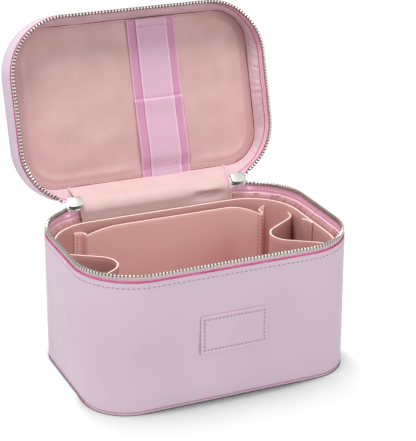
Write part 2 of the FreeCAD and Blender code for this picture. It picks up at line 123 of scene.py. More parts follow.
# Zip
ZIP_INSET = 1.7 * MM
TAPE = 0.7 * MM
TAPE_SEWN = 9 * MM
TAPE_BEAD = 0.8 * MM
TAPE_SEAM = 0.3 * MM
TAPE_SEAM_DROP = 1.4 * MM
TAPE_END_DROP = 17 * MM
TAPE_END_FALL = 0.45
TAPE_RIB = 1.1 * MM
TAPE_WARP = 0.8 * MM
TAPE_ROUGHNESS = 0.6
TOOTH_PITCH = 2.84 * MM
TOOTH_FOOT_WIDTH = 2.1 * MM
TOOTH_HEAD_WIDTH = 1.4 * MM
TOOTH_THICK = 2.6 * MM
TOOTH_FOOT = 2.8 * MM
TOOTH_NECK = 1.2 * MM
TOOTH_SHOULDER = 0.7 * MM
TOOTH_MESH = 0.35 * MM
TOOTH_TAPER = 0.4 * MM
TOOTH_ROUND = 0.22 * MM
SLIDER_GAP = 0.3 * MM
SLIDER_LEAD = 3 * MM
SLIDER_TRAIL = 8 * MM
TAPE_LEAN = 1.5 * MM
CORD_SINK = 1.4 * MM
# Sizes of the magenta cord at the leather's top edge, which is painted shade of the zip tape in its gap
EDGE_CORD = 0.7 * MM
EDGE_CORD_RISE = 0.7 * EDGE_CORD
LID_EDGE_CORD = 0.35 * MM
LID_EDGE_CORD_ENDS = 2.2
SEAM_CORD = 0.4 * MM
PANEL_CORD = 0.6 * MM

# Stitches
STITCH_PITCH = 4.0 * MM
FINE_PITCH = 3.2 * MM
STITCH_SHARE = 0.72
STITCH_END_SHARE = 1 / 8
STITCH_END_SIZE = 0.6
STITCH_WIDTH = 0.7 * MM
STITCH_ROUND = STITCH_WIDTH / 5
STITCH_HEIGHT = 0.18 * MM
STITCH_HOLE = 0.6 * MM
STITCH_HOLE_LIFT = 0.1 * MM
RIM_STITCH_DROP = 4.2 * MM
SEAM_STITCH_INSET = 2.4 * MM

# Elastic
ELASTIC = 0.7 * MM
ELASTIC_HEM = 6 * MM
ELASTIC_HEM_THICK = 0.45 * MM
ELASTIC_TUCK = 0.35 * MM
ELASTIC_TUCK_WIDTH = 1.6 * MM
ELASTIC_LIP = 1.0 * MM
ELASTIC_LIP_SHARE = 1 / 8
ELASTIC_SLACK = 2.2 * MM
ELASTIC_SLACK_FROM_TUCK = 0.36
ELASTIC_SLACK_FROM_END = 0.14
ELASTIC_STITCH_LIFT = 0.3 * MM
ELASTIC_STITCH_MARGIN = 1 * MM
ELASTIC_RIB = 1.0 * MM
ELASTIC_WARP = 0.9 * MM
ELASTIC_ROUGHNESS = 0.55
SELVEDGE = 1.2 * MM
SELVEDGE_BEAD = 0.3 * MM
SELVEDGE_FADE = 0.7

# Insert and pockets
INSERT_SHEET = 1.6 * MM
POCKET_SHEET = 1.4 * MM
POCKET_SEAT = 0.1 * MM
INSERT_LAP = 12 * MM
INSERT_LAP_END_Y = 8 * MM
INSERT_LAP_LIFT = 3.5 * MM
INSERT_STITCH_Y = 1 * MM
INSERT_STITCH_DROP = 3 * MM
INSERT_STITCH_RUN = 80 * MM
BACK_POCKET_GAP = 7 * MM
BACK_POCKET_CURVE = 30 * MM
BACK_POCKET_LEFT_INTO_CORNER = 5 * MM
BACK_POCKET_LEFT_FLANGE = 10 * MM
BACK_POCKET_LEFT_DROP = 5 * MM
BACK_POCKET_LEFT_RISE = 2.5 * MM
BACK_POCKET_RIGHT_INTO_CORNER = 21.8 * MM
BACK_POCKET_RIGHT_OVERHANG = 1.9 * MM
BACK_POCKET_RIGHT_FLANGE = 5.2 * MM
BACK_POCKET_RIGHT_DROP = 8 * MM
BACK_POCKET_RIGHT_RISE = 5.5 * MM
BACK_POCKET_RIGHT_RISE_LEAD = 2 * MM
BACK_POCKET_TURN_BEND = 40 * MM
BACK_POCKET_FOLD = 1.6 * MM
BACK_POCKET_STITCH_RUN = 84 * MM
BACK_POCKET_FLANGE_STITCH_SHARE = 0.25
BACK_POCKET_FLANGE_STITCH_DROP = 7 * MM
SIDE_POCKET_ROOT = 66 * MM
SIDE_POCKET_NOSE = 18 * MM
SIDE_POCKET_DEPTH = 37.5 * MM
SIDE_POCKET_Y = -3 * MM
SIDE_POCKET_BEND = 16 * MM
SIDE_POCKET_FLANGE = 9 * MM
SIDE_POCKET_FOLD = 13 * MM

# Inset from the right fold, and drop below the top, of the two rows of stitches in the back pocket's panel
BACK_POCKET_PANEL_STITCHES = ((1.8 * MM, 10 * MM), (4.3 * MM, 9 * MM))

# Hinge
HINGE_STRIP = 1.0 * MM
HINGE_SEWN = 12 * MM
HINGE_CREASE_RADIUS = 1.6 * MM
HINGE_TUCK = 2.0 * MM
HINGE_TUCK_FROM = 44 * MM
HINGE_TUCK_TO = 58 * MM
HINGE_NOTCH = 7.5 * MM
HINGE_NOTCH_FROM = 4 * MM
HINGE_NOTCH_TO = 11 * MM
HINGE_STITCH_INSET = 2.6 * MM
HINGE_LINING = 0.6 * MM
HINGE_LINING_RADIUS = 9 * MM
HINGE_LINING_DROP = 24 * MM
HINGE_LINING_CLEAR = 0.3 * MM
HINGE_LINING_HEM = 2.4 * MM
HINGE_LINING_FLARE = 4 * MM
HINGE_LINING_SPREAD = 7 * MM
HINGE_LINING_DENT = 3.5 * MM
HINGE_LINING_DENT_X = 46 * MM
HINGE_LINING_DENT_Z = 111.5 * MM
HINGE_LINING_DENT_WIDTH = 11 * MM
HINGE_LINING_DENT_HEIGHT = 3.5 * MM
HINGE_LINING_FOLD = 2 * MM
HINGE_LINING_FOLD_Z = 118 * MM
HINGE_LINING_FOLD_HEIGHT = 4 * MM
HINGE_LINING_SAG = 0.6 * MM
HINGE_LINING_SAG_REACH = 10 * MM
HINGE_LINING_SAG_WIDTH = 30 * MM
HINGE_LINING_SAG_HEIGHT = 14 * MM
HINGE_LINING_SAG_LAYER = 0.3

# Sliders and pulls
SLIDER_ROUND = 0.2 * MM
PULL_ROUND = 0.25 * MM

# Handle
HANDLE_LENGTH = 136 * MM
HANDLE_SEWN = 24 * MM
HANDLE_RISE = 22 * MM
HANDLE_SLOPE = 24 * MM
HANDLE_WIDTH = 22 * MM
HANDLE_THICK = 3.2 * MM
HANDLE_ROUND = HANDLE_THICK / 3
HANDLE_FOOT_BEND = 14 * MM
HANDLE_GRIP_BEND = 26 * MM
HANDLE_STITCH_MARGIN = 2.6 * MM

# Limits of a face's normal, below or above which the face takes its piece's second finish
PATCH_SIDE_BELOW = 0.5
TOOTH_SHADE_ABOVE = 0.9
SLIDER_SHADE_BELOW = 0.96
CUT_EDGE_ABOVE = 0.3

# Fineness of the meshes
CORNER_STEPS = 24
GATHER_CORNER_STEPS = 56
GATHER_STEP = 1.2 * MM
GATHER_ROWS = 24
GUIDE_STEPS = 32
BEND_STEPS = 10
ROLLED_EDGE_STEPS = 5
ROUND_EDGE_STEPS = 3
CORD_STEPS = 2
ROUND_SIDES = 8
PATCH_COLUMNS = 130
PANEL_COLUMNS = 140
TAPE_STEP = 2 * MM
TAPE_ROWS = 6
LID_WALL_ROWS = 4
BAND_ROWS = 14
ELASTIC_COLUMNS = 60
ELASTIC_ROWS = 100
HANDLE_COLUMNS = 6
HINGE_COLUMNS = 32
HINGE_CUTS = (0.35, 0.45, 0.55, 0.65, 0.75)
HINGE_CLOTH_COLUMNS = 48
HINGE_HEM_COLUMNS = 2
HINGE_CLOTH_LENGTHS = 10
INSERT_ROWS = 16
INSERT_LAP_CUTS = (0.3, 0.5, 0.6, 0.7, 0.8, 0.9)
BACK_POCKET_ROWS = 24
BACK_POCKET_STEP = 3 * MM
TOUCH = 0.01 * MM
MERGE = 0.001 * MM
NODE_MERGE = 0.005 * MM
FACET_ANGLE = math.radians(2)
SMOOTH_ANGLE = math.radians(35)
BEVEL_ANGLE = math.radians(40)

# Length of a curve's handle that makes a quarter circle of radius 1
QUARTER_HANDLE = 4 / 3 * math.tan(math.pi / 8)

# Screen colours: their steps of brightness, and the curve that makes them linear
SCREEN_STEPS = 255
SCREEN_STRAIGHT_END = 0.04045
SCREEN_STRAIGHT_SLOPE = 12.92
SCREEN_OFFSET = 0.055
SCREEN_POWER = 2.4

# Noise: its middle range, and how many finer layers it has
NOISE_LOW = 0.3
NOISE_HIGH = 0.7
NOISE_DETAIL = 3.0

# What the wave node itself multiplies its scale by
WAVE_FACTOR = 20

# Finishes
LEATHER_ROUGHNESS = 0.46
LEATHER_GLOSSIER = 0.05
LEATHER_DULLER = 0.06
LEATHER_GLOSS_SIZE = 9 * MM
LEATHER_SPECULAR = 0.35
LEATHER_BUMP = 0.22
LEATHER_BUMP_DEPTH = 0.08 * MM
LEATHER_CLOUD_SIZE = 70 * MM
LEATHER_CLOUD_DETAIL = 1.0
LEATHER_GRAIN = 0.75 * MM
SHEET_ROUGHNESS = 0.55
SHEET_GRAIN = 0.5 * MM
SATIN_ROUGHNESS = 0.42
SATIN_GLOSSIER = 0.04
SATIN_DULLER = 0.12
SATIN_SPECULAR = 0.4
SATIN_SHEEN = 0.1
SATIN_THREAD = 0.35 * MM
SATIN_THREAD_DETAIL = 2.0
SATIN_BUMP = 0.12
SATIN_BUMP_DEPTH = 0.06 * MM
SATIN_MOTTLE_SIZE = 16 * MM
WOVEN_SPECULAR = 0.3
WOVEN_SHEEN = 0.15
WOVEN_BUMP = 0.35
WOVEN_BUMP_DEPTH = 0.12 * MM
METAL_GLOSSIER = 0.05
METAL_DULLER = 0.08
METAL_SMEAR_SIZE = 1.5 * MM
METAL_SCRATCH_SIZE = 0.4 * MM
METAL_BUMP = 0.05
METAL_BUMP_DEPTH = 0.02 * MM
FIBRE_SPECULAR = 0.25
FIBRE_DETAIL = 4.0
FIBRE_BUMP = 0.3
FIBRE_FLATNESS = 6
FIBRE_SIZE = 0.5 * MM
THREAD_SIZE = 0.3 * MM
THREAD_ROUGHNESS = 0.65

# Floor, its shadow and the light from all round
FLOOR_SIZE = 8
FLOOR_TONE = 0.8
FLOOR_SEEN_TONE = 0.09
FLOOR_GLOW = 0.97
SHADOW_REACH = 75 * MM
SHADOW_SIDE_REACH = 7 * MM
SHADOW_FRONT_Y = -72 * MM
SHADOW_SIDE_Y = -25 * MM
SHADOW_END_X = 95 * MM
SHADOW_PAST_X = 130 * MM
SHADOW_PAST_SHARE = 0.1
SHADOW_FULL = 0.5
SHADOW_FALL = 0.27
SHADOW_SAMPLES = 32
SURROUND_LIGHT = 0.39
WHITE = (1, 1, 1, 1)

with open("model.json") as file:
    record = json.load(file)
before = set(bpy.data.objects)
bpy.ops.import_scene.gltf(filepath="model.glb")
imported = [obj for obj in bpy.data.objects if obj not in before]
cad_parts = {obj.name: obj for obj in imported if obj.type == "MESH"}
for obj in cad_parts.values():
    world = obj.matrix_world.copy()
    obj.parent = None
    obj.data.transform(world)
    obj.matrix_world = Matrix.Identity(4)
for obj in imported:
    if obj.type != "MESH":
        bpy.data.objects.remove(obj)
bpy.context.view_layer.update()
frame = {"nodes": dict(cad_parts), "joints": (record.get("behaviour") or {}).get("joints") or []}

hinge_joint = next(joint for joint in frame["joints"] if joint["name"] == "lid_hinge")
HINGE = Vector(hinge_joint["pos_m"])
OPEN_ANGLE = -math.radians(hinge_joint["range_deg"][0])


def swing(angle):
    """A turn about the lid's hinge."""
    turn = Matrix.Rotation(angle, 4, Vector(hinge_joint["axis"]))
    return Matrix.Translation(HINGE) @ turn @ Matrix.Translation(-HINGE)


SWING = swing(OPEN_ANGLE)


def shut_box(node, angle=OPEN_ANGLE):
    """Lowest and highest corners, with the lid shut, of a node that opens by an angle."""
    back = swing(-angle)
    points = [back @ vertex.co for vertex in frame["nodes"][node].data.vertices]
    return Vector(map(min, *points)), Vector(map(max, *points))


# Places read from the frame
HALF_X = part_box("body_wall")[1].x
HALF_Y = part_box("body_wall")[1].y
BASE_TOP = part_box("body_wall")[0].z
BODY_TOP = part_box("body_wall")[1].z
FLOOR_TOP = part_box("body_lining")[0].z + LINING
PARTING = HINGE.z
LID_RIM = shut_box("lid_wall")[0].z
LID_SEAM = shut_box("lid_wall")[1].z
LID_TOP = shut_box("lid_top_cover")[1].z
LID_PANEL = shut_box("lid_lining_panel")[0].z
HINGE_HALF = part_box("hinge_strip")[1].x
SLIDER_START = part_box("slider_right")[0].x
SLIDER_LOW = shut_box("slider_right", OPEN_ANGLE / 2)[0].z
TEETH_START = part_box("slider_right")[1].x
INSERT_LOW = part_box("insert_wall")[0].z
INSERT_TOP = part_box("insert_wall")[1].z
INSERT_INSET = HALF_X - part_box("insert_wall")[1].x
INSERT_FLOOR_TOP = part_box("insert_floor")[1].z
POCKET_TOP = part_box("back_pocket")[1].z
SIDE_POCKET_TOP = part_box("right_pocket")[1].z
POCKET_INSET = INSERT_INSET + INSERT_SHEET + POCKET_SEAT + POCKET_SHEET / 2
CORNER_X = HALF_X - CORNER_RADIUS
CORNER_Y = HALF_Y - CORNER_RADIUS
BACK_POCKET_LEFT = CORNER_X + BACK_POCKET_LEFT_INTO_CORNER
BACK_POCKET_RIGHT = CORNER_X + BACK_POCKET_RIGHT_INTO_CORNER
SEAM_HALF_X = HALF_X - LID_SEAM_SIDE
SEAM_HALF_Y = HALF_Y - (LID_SEAM_FRONT + LID_SEAM_BACK) / 2
SEAM_SHIFT = Vector((0, (LID_SEAM_FRONT - LID_SEAM_BACK) / 2, 0))


# Modelling helpers

def clear_selection():
    for obj in bpy.context.selected_objects:
        obj.select_set(False)


def only(obj):
    """Make one object the selected and active one."""
    clear_selection()
    obj.select_set(True)
    bpy.context.view_layer.objects.active = obj


def rename(obj, name):
    obj.name = name
    obj.data.name = name


def link(obj):
    bpy.context.scene.collection.objects.link(obj)


def settle(name, size=(1, 1, 1)):
    """Name and stretch the new primitive, and put its place into its mesh."""
    obj = bpy.context.object
    rename(obj, name)
    obj.scale = size
    bpy.ops.object.transform_apply(location=True, rotation=True, scale=True)
    return obj


def edit(obj, kind, action="DESELECT"):
    """Start to edit one object, with nothing or everything selected."""
    only(obj)
    bpy.ops.object.mode_set(mode="EDIT")
    bpy.ops.mesh.select_mode(type=kind)
    bpy.ops.mesh.select_all(action=action)


def done():
    bpy.ops.object.mode_set(mode="OBJECT")


def middle(item):
    """Middle of a vertex, edge or face."""
    if isinstance(item, bmesh.types.BMVert):
        return item.co
    return sum((vertex.co for vertex in item.verts), Vector()) / len(item.verts)


def pick(kind, test):
    """In edit mode, select only the elements of one kind whose middle passes a test."""
    mesh = bpy.context.object.data
    model = bmesh.from_edit_mesh(mesh)
    for item in getattr(model, kind):
        item.select_set(False)
    for item in getattr(model, kind):
        if test(middle(item)):
            item.select_set(True)
    bmesh.update_edit_mesh(mesh)


def apply(obj, kind, **settings):
    """Add one modifier, set it and apply it."""
    only(obj)
    modifier = obj.modifiers.new(kind, kind)
    for key, value in settings.items():
        setattr(modifier, key, value)
    bpy.ops.object.modifier_apply(modifier=modifier.name)


def thicken(obj, thick, offset=0.0):
    apply(obj, "SOLIDIFY", thickness=thick, offset=offset, use_even_offset=True)


def soften(obj, width, segments=2):
    """Round the sharp edges."""
    apply(obj, "BEVEL", width=width, segments=segments, limit_method="ANGLE", angle_limit=BEVEL_ANGLE,
          harden_normals=False)


def cut_sheet(obj, thick):
    """Thicken a sheet and round its cut edges."""
    thicken(obj, thick)
    soften(obj, thick / 4)


def repeat(obj, count, step):
    """Copies of a piece in a row along X."""
    apply(obj, "ARRAY", count=count, use_relative_offset=False, use_constant_offset=True,
          constant_offset_displace=(step, 0, 0))


def face_out(obj):
    edit(obj, "FACE", "SELECT")
    bpy.ops.mesh.remove_doubles(threshold=MERGE)
    bpy.ops.mesh.normals_make_consistent(inside=False)
    done()


def push(obj, move):
    """Shift each vertex by what a formula gives for its place."""
    for vertex in obj.data.vertices:
        vertex.co += move(vertex.co)
    obj.data.update()


def join(pieces):
    only(pieces[0])
    for piece in pieces:
        piece.select_set(True)
    bpy.ops.object.join()
    return bpy.context.object


def swung(y, z):
    """Where a point of the shut lid lies once it is open."""
    return SWING @ Vector((0, y, z))


def paint(obj, index, test):
    """Give the faces whose middle and normal pass a test another of the piece's finishes."""
    for face in obj.data.polygons:
        if test(face.center, face.normal):
            face.material_index = index


def wear(obj, finishes):
    """Put the finishes in the piece's slots, in order, and shade it smooth."""
    finishes = finishes if isinstance(finishes, list) else [finishes]
    places = [face.material_index for face in obj.data.polygons]
    obj.data.materials.clear()
    for finish in finishes:
        obj.data.materials.append(finish)
    for face, place in zip(obj.data.polygons, places):
        face.material_index = min(place, len(finishes) - 1)
    only(obj)
    bpy.ops.object.shade_smooth_by_angle(angle=SMOOTH_ANGLE)


def hand_over(obj, finishes, body, slot, *nodes):
    """Give a piece its finishes, its body and the nodes that it stands for; its slot is not used.

    The lid's pieces are drawn shut, so they are swung open first.
    """
    if body == "lid":
        obj.data.transform(SWING)
        obj.data.update()
    wear(obj, finishes)
    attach(obj, body)
    if nodes:
        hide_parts(*nodes)


def ramp(value, low, high):
    """0 up to low, 1 from high on, and an even S between them."""
    share = min(1, max(0, (value - low) / (high - low)))
    return share * share * (3 - 2 * share)


def bump_at(distance, width):
    """1 where a distance is nothing, falling off over a width."""
    return math.exp(-(distance / width) ** 2)


def plan_noise(point, size):
    """Noise that is the same at every height."""
    return noise.noise(Vector((point.x, point.y, 0)) / size)


# Outlines and sheets of the case

def rounded_plate(name, half_x, half_y, radius, z, steps=CORNER_STEPS):
    """A flat rounded rectangle."""
    clear_selection()
    bpy.ops.mesh.primitive_plane_add(size=1, location=(0, 0, z))
    obj = settle(name, (2 * half_x, 2 * half_y, 1))
    edit(obj, "VERT", "SELECT")
    bpy.ops.mesh.bevel(offset=radius, segments=steps, affect="VERTICES")
    done()
    return obj


def plan_plate(name, inset, z, steps=CORNER_STEPS):
    return rounded_plate(name, HALF_X - inset, HALF_Y - inset, CORNER_RADIUS - inset, z, steps)


def raise_plate(obj, height):
    """Draw a plate up into a closed block."""
    edit(obj, "FACE", "SELECT")
    bpy.ops.mesh.extrude_region_move(TRANSFORM_OT_translate={"value": (0, 0, height)})
    done()
    face_out(obj)
    return obj


def bevel_rim(obj, z, width, segments=2):
    """Round the edges that lie at one height."""
    edit(obj, "EDGE")
    pick("edges", lambda p: abs(p.z - z) < TOUCH)
    bpy.ops.mesh.bevel(offset=width, segments=segments, affect="EDGES")
    done()


def step_in(obj, z, steps):
    """Inset the face at one height again and again, each time by a reach and a rise in mm."""
    edit(obj, "FACE")
    pick("faces", lambda p: abs(p.z - z) < TOUCH)
    for reach, rise in steps:
        bpy.ops.mesh.inset(thickness=reach * MM, depth=rise * MM)
    done()


def drop_faces(obj, test):
    edit(obj, "FACE")
    pick("faces", test)
    bpy.ops.mesh.delete(type="FACE")
    done()


def plan_wall(name, inset, heights, corner_steps=CORNER_STEPS):
    """An open wall, one surface thick, round the case's plan, with an edge at each height."""
    obj = plan_plate(name, inset, heights[0], corner_steps)
    edit(obj, "EDGE", "SELECT")
    bpy.ops.mesh.delete(type="ONLY_FACE")
    bpy.ops.mesh.select_all(action="SELECT")
    for low, high in zip(heights, heights[1:]):
        bpy.ops.mesh.extrude_edges_move(TRANSFORM_OT_translate={"value": (0, 0, high - low)})
    done()
    face_out(obj)
    return obj


def heights_between(low, high, steps):
    return [low + (high - low) * step / steps for step in range(steps + 1)]


def cut_across(obj, axis, reach, step):
    """Cut a piece into short lengths along one axis, so that it can ripple or droop."""
    edit(obj, "EDGE")
    normal = [0, 0, 0]
    normal[axis] = 1
    cut = -reach + step
    while cut < reach - step / 2:
        bpy.ops.mesh.select_all(action="SELECT")
        place = [0, 0, 0]
        place[axis] = cut
        bpy.ops.mesh.bisect(plane_co=place, plane_no=normal)
        cut += step
    done()


def cut_long_sides(obj, step):
    cut_across(obj, 0, CORNER_X, step)
    cut_across(obj, 1, CORNER_Y, step)


def outward(point):
    """The direction straight out of the case's plan at a point of its wall."""
    x = math.copysign(max(abs(point.x) - CORNER_X, 0), point.x)
    y = math.copysign(max(abs(point.y) - CORNER_Y, 0), point.y)
    if x and y:
        return Vector((x, y, 0)).normalized()
    return Vector((math.copysign(1, x), 0, 0)) if x else Vector((0, math.copysign(1, y), 0))


def wall_reach(across, corner, far_corner, inset):
    """How far out a wall stands at one place along it, where it runs straight or into a corner."""
    into_corner = max(0, abs(across) - corner)
    return far_corner + math.sqrt((CORNER_RADIUS - inset) ** 2 - into_corner ** 2)


def back_wall_y(x, inset):
    return wall_reach(x, CORNER_X, CORNER_Y, inset)


def side_wall_x(y, inset):
    return wall_reach(y, CORNER_Y, CORNER_X, inset)


def facing_place(point, half_x, half_y, radius):
    """The point of another rounded plan that faces a point of the case's wall."""
    x = max(-1, min(1, point.x / CORNER_X)) * (half_x - radius)
    y = max(-1, min(1, point.y / CORNER_Y)) * (half_y - radius)
    return Vector((x, y, point.z)) + outward(point) * radius


def taper(point):
    """How the body draws in towards its base, where its corners are tighter than at the rim."""
    base = facing_place(point, HALF_X - BASE_NARROWER, HALF_Y - BASE_SHALLOWER, BASE_CORNER)
    rim = facing_place(point, HALF_X, HALF_Y, CORNER_RADIUS)
    return (base - rim) * max(0, 1 - point.z / BODY_TOP)


def rounded_grid(name, half_x, half_y, radius, z, columns):
    """A sheet of small quads, its square corners drawn in to the round."""
    clear_selection()
    rows = round(columns * half_y / half_x)
    bpy.ops.mesh.primitive_grid_add(x_subdivisions=columns, y_subdivisions=rows, size=2, location=(0, 0, z))
    obj = settle(name, (half_x, half_y, 1))
    corner_x = half_x - radius
    corner_y = half_y - radius

    def draw_in(point):
        a = (abs(point.x) - corner_x) / radius
        b = (abs(point.y) - corner_y) / radius
        if a <= 0 or b <= 0:
            return Vector()
        x = corner_x + radius * a * math.sqrt(1 - b * b / 2)
        y = corner_y + radius * b * math.sqrt(1 - a * a / 2)
        return Vector((math.copysign(x, point.x) - point.x, math.copysign(y, point.y) - point.y, 0))

    push(obj, draw_in)
    return obj


def edge_distance(point, half_x, half_y, radius):
    """How far a point lies inside a rounded outline."""
    x = abs(point.x) - half_x + radius
    y = abs(point.y) - half_y + radius
    return radius - math.hypot(max(x, 0), max(y, 0)) - min(max(x, y), 0)


def outline_guide(inset, z, closed):
    return plan_guide(HALF_X - inset, HALF_Y - inset, CORNER_RADIUS - inset, z, closed)


def plan_guide(half_x, half_y, radius, z, closed=True):
    """A rounded outline as a curve, clockwise from the right end of the back."""
    corner_x = half_x - radius
    corner_y = half_y - radius
    data = bpy.data.curves.new("guide", "CURVE")
    data.dimensions = "3D"
    data.twist_mode = "Z_UP"
    data.resolution_u = GUIDE_STEPS
    spline = data.splines.new("BEZIER")
    corners = [(1, 1), (1, -1), (-1, -1), (-1, 1)]
    spline.bezier_points.add(2 * len(corners) - 1)
    spline.use_cyclic_u = closed
    bow = radius * QUARTER_HANDLE
    run = corner_y / 2
    for index, (sx, sy) in enumerate(corners):
        centre = Vector((sx * corner_x, sy * corner_y, z))
        first = Vector((0, sy, 0))
        last = Vector((sx, 0, 0))
        if index % 2:
            first, last = last, first
        for spot, way, before, after in ((first, last, run, bow), (last, -first, bow, run)):
            point = spline.bezier_points[2 * index + (spot is last)]
            point.handle_left_type = "FREE"
            point.handle_right_type = "FREE"
            point.co = centre + spot * radius
            point.handle_left = point.co - way * before
            point.handle_right = point.co + way * after
    guide = bpy.data.objects.new("guide", data)
    link(guide)
    return guide


def outline_length(inset, closed):
    return plan_length(HALF_X - inset, HALF_Y - inset, CORNER_RADIUS - inset, closed)


def plan_length(half_x, half_y, radius, closed=True):
    corner_x = half_x - radius
    corner_y = half_y - radius
    return 4 * corner_y + (4 if closed else 2) * corner_x + 2 * math.pi * radius


def wrap(obj, guide):
    """Bend a piece drawn along X round a guide; its Y turns outwards."""
    apply(obj, "CURVE", object=guide, deform_axis="POS_X")
    bpy.data.objects.remove(guide)
    return obj


def edge_cord(name, guide, radius, ends=1.0):
    """A thin round cord along a guide, thicker or thinner by a share at its two ends."""
    points = guide.data.splines[0].bezier_points
    for point in (points[0], points[1], points[-2], points[-1]):
        point.radius = ends
    guide.data.bevel_depth = radius
    guide.data.bevel_resolution = CORD_STEPS
    guide.data.use_fill_caps = True
    only(guide)
    bpy.ops.object.convert(target="MESH")
    obj = bpy.context.object
    rename(obj, name)
    face_out(obj)
    return obj


def bent_strip(name, points, radii, spread, steps):
    """A strip bent along a line of points, its corners rounded and its width drawn out sideways."""
    clear_selection()
    bpy.ops.mesh.primitive_plane_add(size=MM, location=points[0])
    obj = settle(name)
    edit(obj, "VERT", "SELECT")
    bpy.ops.mesh.merge(type="CENTER")
    for start, end in zip(points, points[1:]):
        bpy.ops.mesh.extrude_vertices_move(TRANSFORM_OT_translate={"value": end - start})
    for index, radius in enumerate(radii, start=1):
        corner = points[index]
        half = (points[index - 1] - corner).angle(points[index + 1] - corner) / 2
        pick("verts", lambda p: (p - corner).length < TOUCH)
        bpy.ops.mesh.bevel(offset=radius / math.tan(half), segments=BEND_STEPS, affect="VERTICES")
    bpy.ops.mesh.select_all(action="SELECT")
    for _ in range(steps):
        bpy.ops.mesh.extrude_edges_move(TRANSFORM_OT_translate={"value": spread / steps})
    bpy.ops.mesh.select_all(action="SELECT")
    bpy.ops.mesh.normals_make_consistent(inside=False)
    done()
    return obj


def cut_lengths(obj, stretches, shares):
    """Cut a strip across at shares of each straight stretch of it."""
    edit(obj, "EDGE")
    for start, end in stretches:
        for share in shares:
            bpy.ops.mesh.select_all(action="SELECT")
            bpy.ops.mesh.bisect(plane_co=start.lerp(end, share), plane_no=(end - start).normalized())
    done()


def lay_uv(obj, place):
    """Set the piece's UV map from each corner's place, in metres."""
    layer = obj.data.uv_layers.active or obj.data.uv_layers.new(name="UVMap")
    for loop in obj.data.loops:
        layer.data[loop.index].uv = place(obj.data.vertices[loop.vertex_index].co)


def softened_copy(name, node, round_edge):
    """A node's own shape with its facets joined and its edges rounded."""
    obj = frame["nodes"][node].copy()
    obj.data = frame["nodes"][node].data.copy()
    rename(obj, name)
    obj.parent = None
    for key in list(obj.keys()):
        del obj[key]
    link(obj)
    edit(obj, "FACE", "SELECT")
    bpy.ops.mesh.remove_doubles(threshold=NODE_MERGE)
    bpy.ops.mesh.dissolve_limited(angle_limit=FACET_ANGLE)
    done()
    soften(obj, round_edge)
    return obj


# Stitches

def stitch(name, pitch):
    """One stitch along X on Z 0: a low thread that dips at both ends, and at its start a dark disc, painted
    shade of the hole.
    """
    length = pitch * STITCH_SHARE
    clear_selection()
    bpy.ops.mesh.primitive_cube_add(size=1, location=(pitch / 2, 0, STITCH_HEIGHT / 4))
    thread = settle(name, (length, STITCH_WIDTH, STITCH_HEIGHT))
    edit(thread, "FACE")
    for side in (-1, 1):
        end = pitch / 2 + side * length / 2
        pick("faces", lambda p: abs(p.x - end) < TOUCH)
        dip = (side * length * STITCH_END_SHARE, 0, -STITCH_HEIGHT / 2)
        bpy.ops.mesh.extrude_region_move(TRANSFORM_OT_translate={"value": dip})
        bpy.ops.transform.resize(value=(1, STITCH_END_SIZE, STITCH_END_SIZE))
    done()
    soften(thread, STITCH_ROUND, 1)
    clear_selection()
    # Dark disc at the stitch's start: painted shade of its hole
    bpy.ops.mesh.primitive_circle_add(vertices=ROUND_SIDES, radius=STITCH_HOLE, fill_type="NGON",
                                      location=(0, 0, STITCH_HOLE_LIFT))
    hole = settle(name + "_hole")
    edit(hole, "FACE", "SELECT")
    bpy.ops.mesh.inset(thickness=STITCH_HOLE / 2, depth=-STITCH_HOLE_LIFT / 2)
    done()
    thread.data.materials.append(FINISH["thread"])
    hole.data.materials.append(FINISH["stitch_hole"])
    return join([thread, hole])


def stitch_row(name, length, pitch):
    """A straight row of stitches along X."""
    obj = stitch(name, pitch)
    count = max(1, round(length / pitch))
    repeat(obj, count, length / count)
    return obj


def stitch_line(name, start, end, normal, pitch=FINE_PITCH):
    """A straight row from one point of a flat face to another."""
    way = end - start
    obj = stitch_row(name, way.length, pitch)
    x = way.normalized()
    z = normal.normalized()
    y = z.cross(x)
    turn = Matrix((x, y, z)).transposed().to_4x4()
    obj.data.transform(Matrix.Translation(start) @ turn)
    return obj


def sew(rows, stuff, body, slot):
    """Join rows of stitches and give them the thread, and the painted shade of the holes, of what they are
    sewn through.
    """
    finishes = [FINISH[stuff + "thread"], FINISH[stuff + "stitch_hole"]]
    hand_over(join(rows), finishes, body, slot)


def rim_stitches():
    """The row round the outside of the body's wall."""
    row = stitch_row("body_rim_stitches", outline_length(0, True), STITCH_PITCH)
    row.data.transform(Matrix.Rotation(-math.pi / 2, 4, "X"))
    wrap(row, outline_guide(0, BODY_TOP - RIM_STITCH_DROP, True))
    push(row, taper)
    sew([row], "", "case", "lavender_leather")


# Finishes

def linear(colour):
    """A colour that is given as a screen shows it, in linear values."""
    values = []
    for step in colour:
        share = step / SCREEN_STEPS
        if share <= SCREEN_STRAIGHT_END:
            values.append(share / SCREEN_STRAIGHT_SLOPE)
        else:
            values.append(((share + SCREEN_OFFSET) / (1 + SCREEN_OFFSET)) ** SCREEN_POWER)
    return (*values, 1.0)


def new_finish(name, roughness, **sockets):
    """A material with its shader's constant values set."""
    finish = bpy.data.materials.new(name)
    finish.use_nodes = True
    shader = finish.node_tree.nodes["Principled BSDF"]
    shader.inputs["Roughness"].default_value = roughness
    for key, value in sockets.items():
        shader.inputs[key.replace("_", " ")].default_value = value
    return finish


def add_node(finish, kind, inputs=(), **settings):
    """A node with its settings; an input is a plain value or another node's output."""
    tree = finish.node_tree
    node = tree.nodes.new(kind)
    for key, value in settings.items():
        setattr(node, key, value)
    for key, value in dict(inputs).items():
        if isinstance(value, bpy.types.NodeSocket):
            tree.links.new(value, node.inputs[key])
        else:
            node.inputs[key].default_value = value
    return node


def to_shader(finish, socket, output):
    shader = finish.node_tree.nodes["Principled BSDF"]
    finish.node_tree.links.new(output, shader.inputs[socket])


def surface_place(finish, output="Object"):
    return add_node(finish, "ShaderNodeTexCoord").outputs[output]


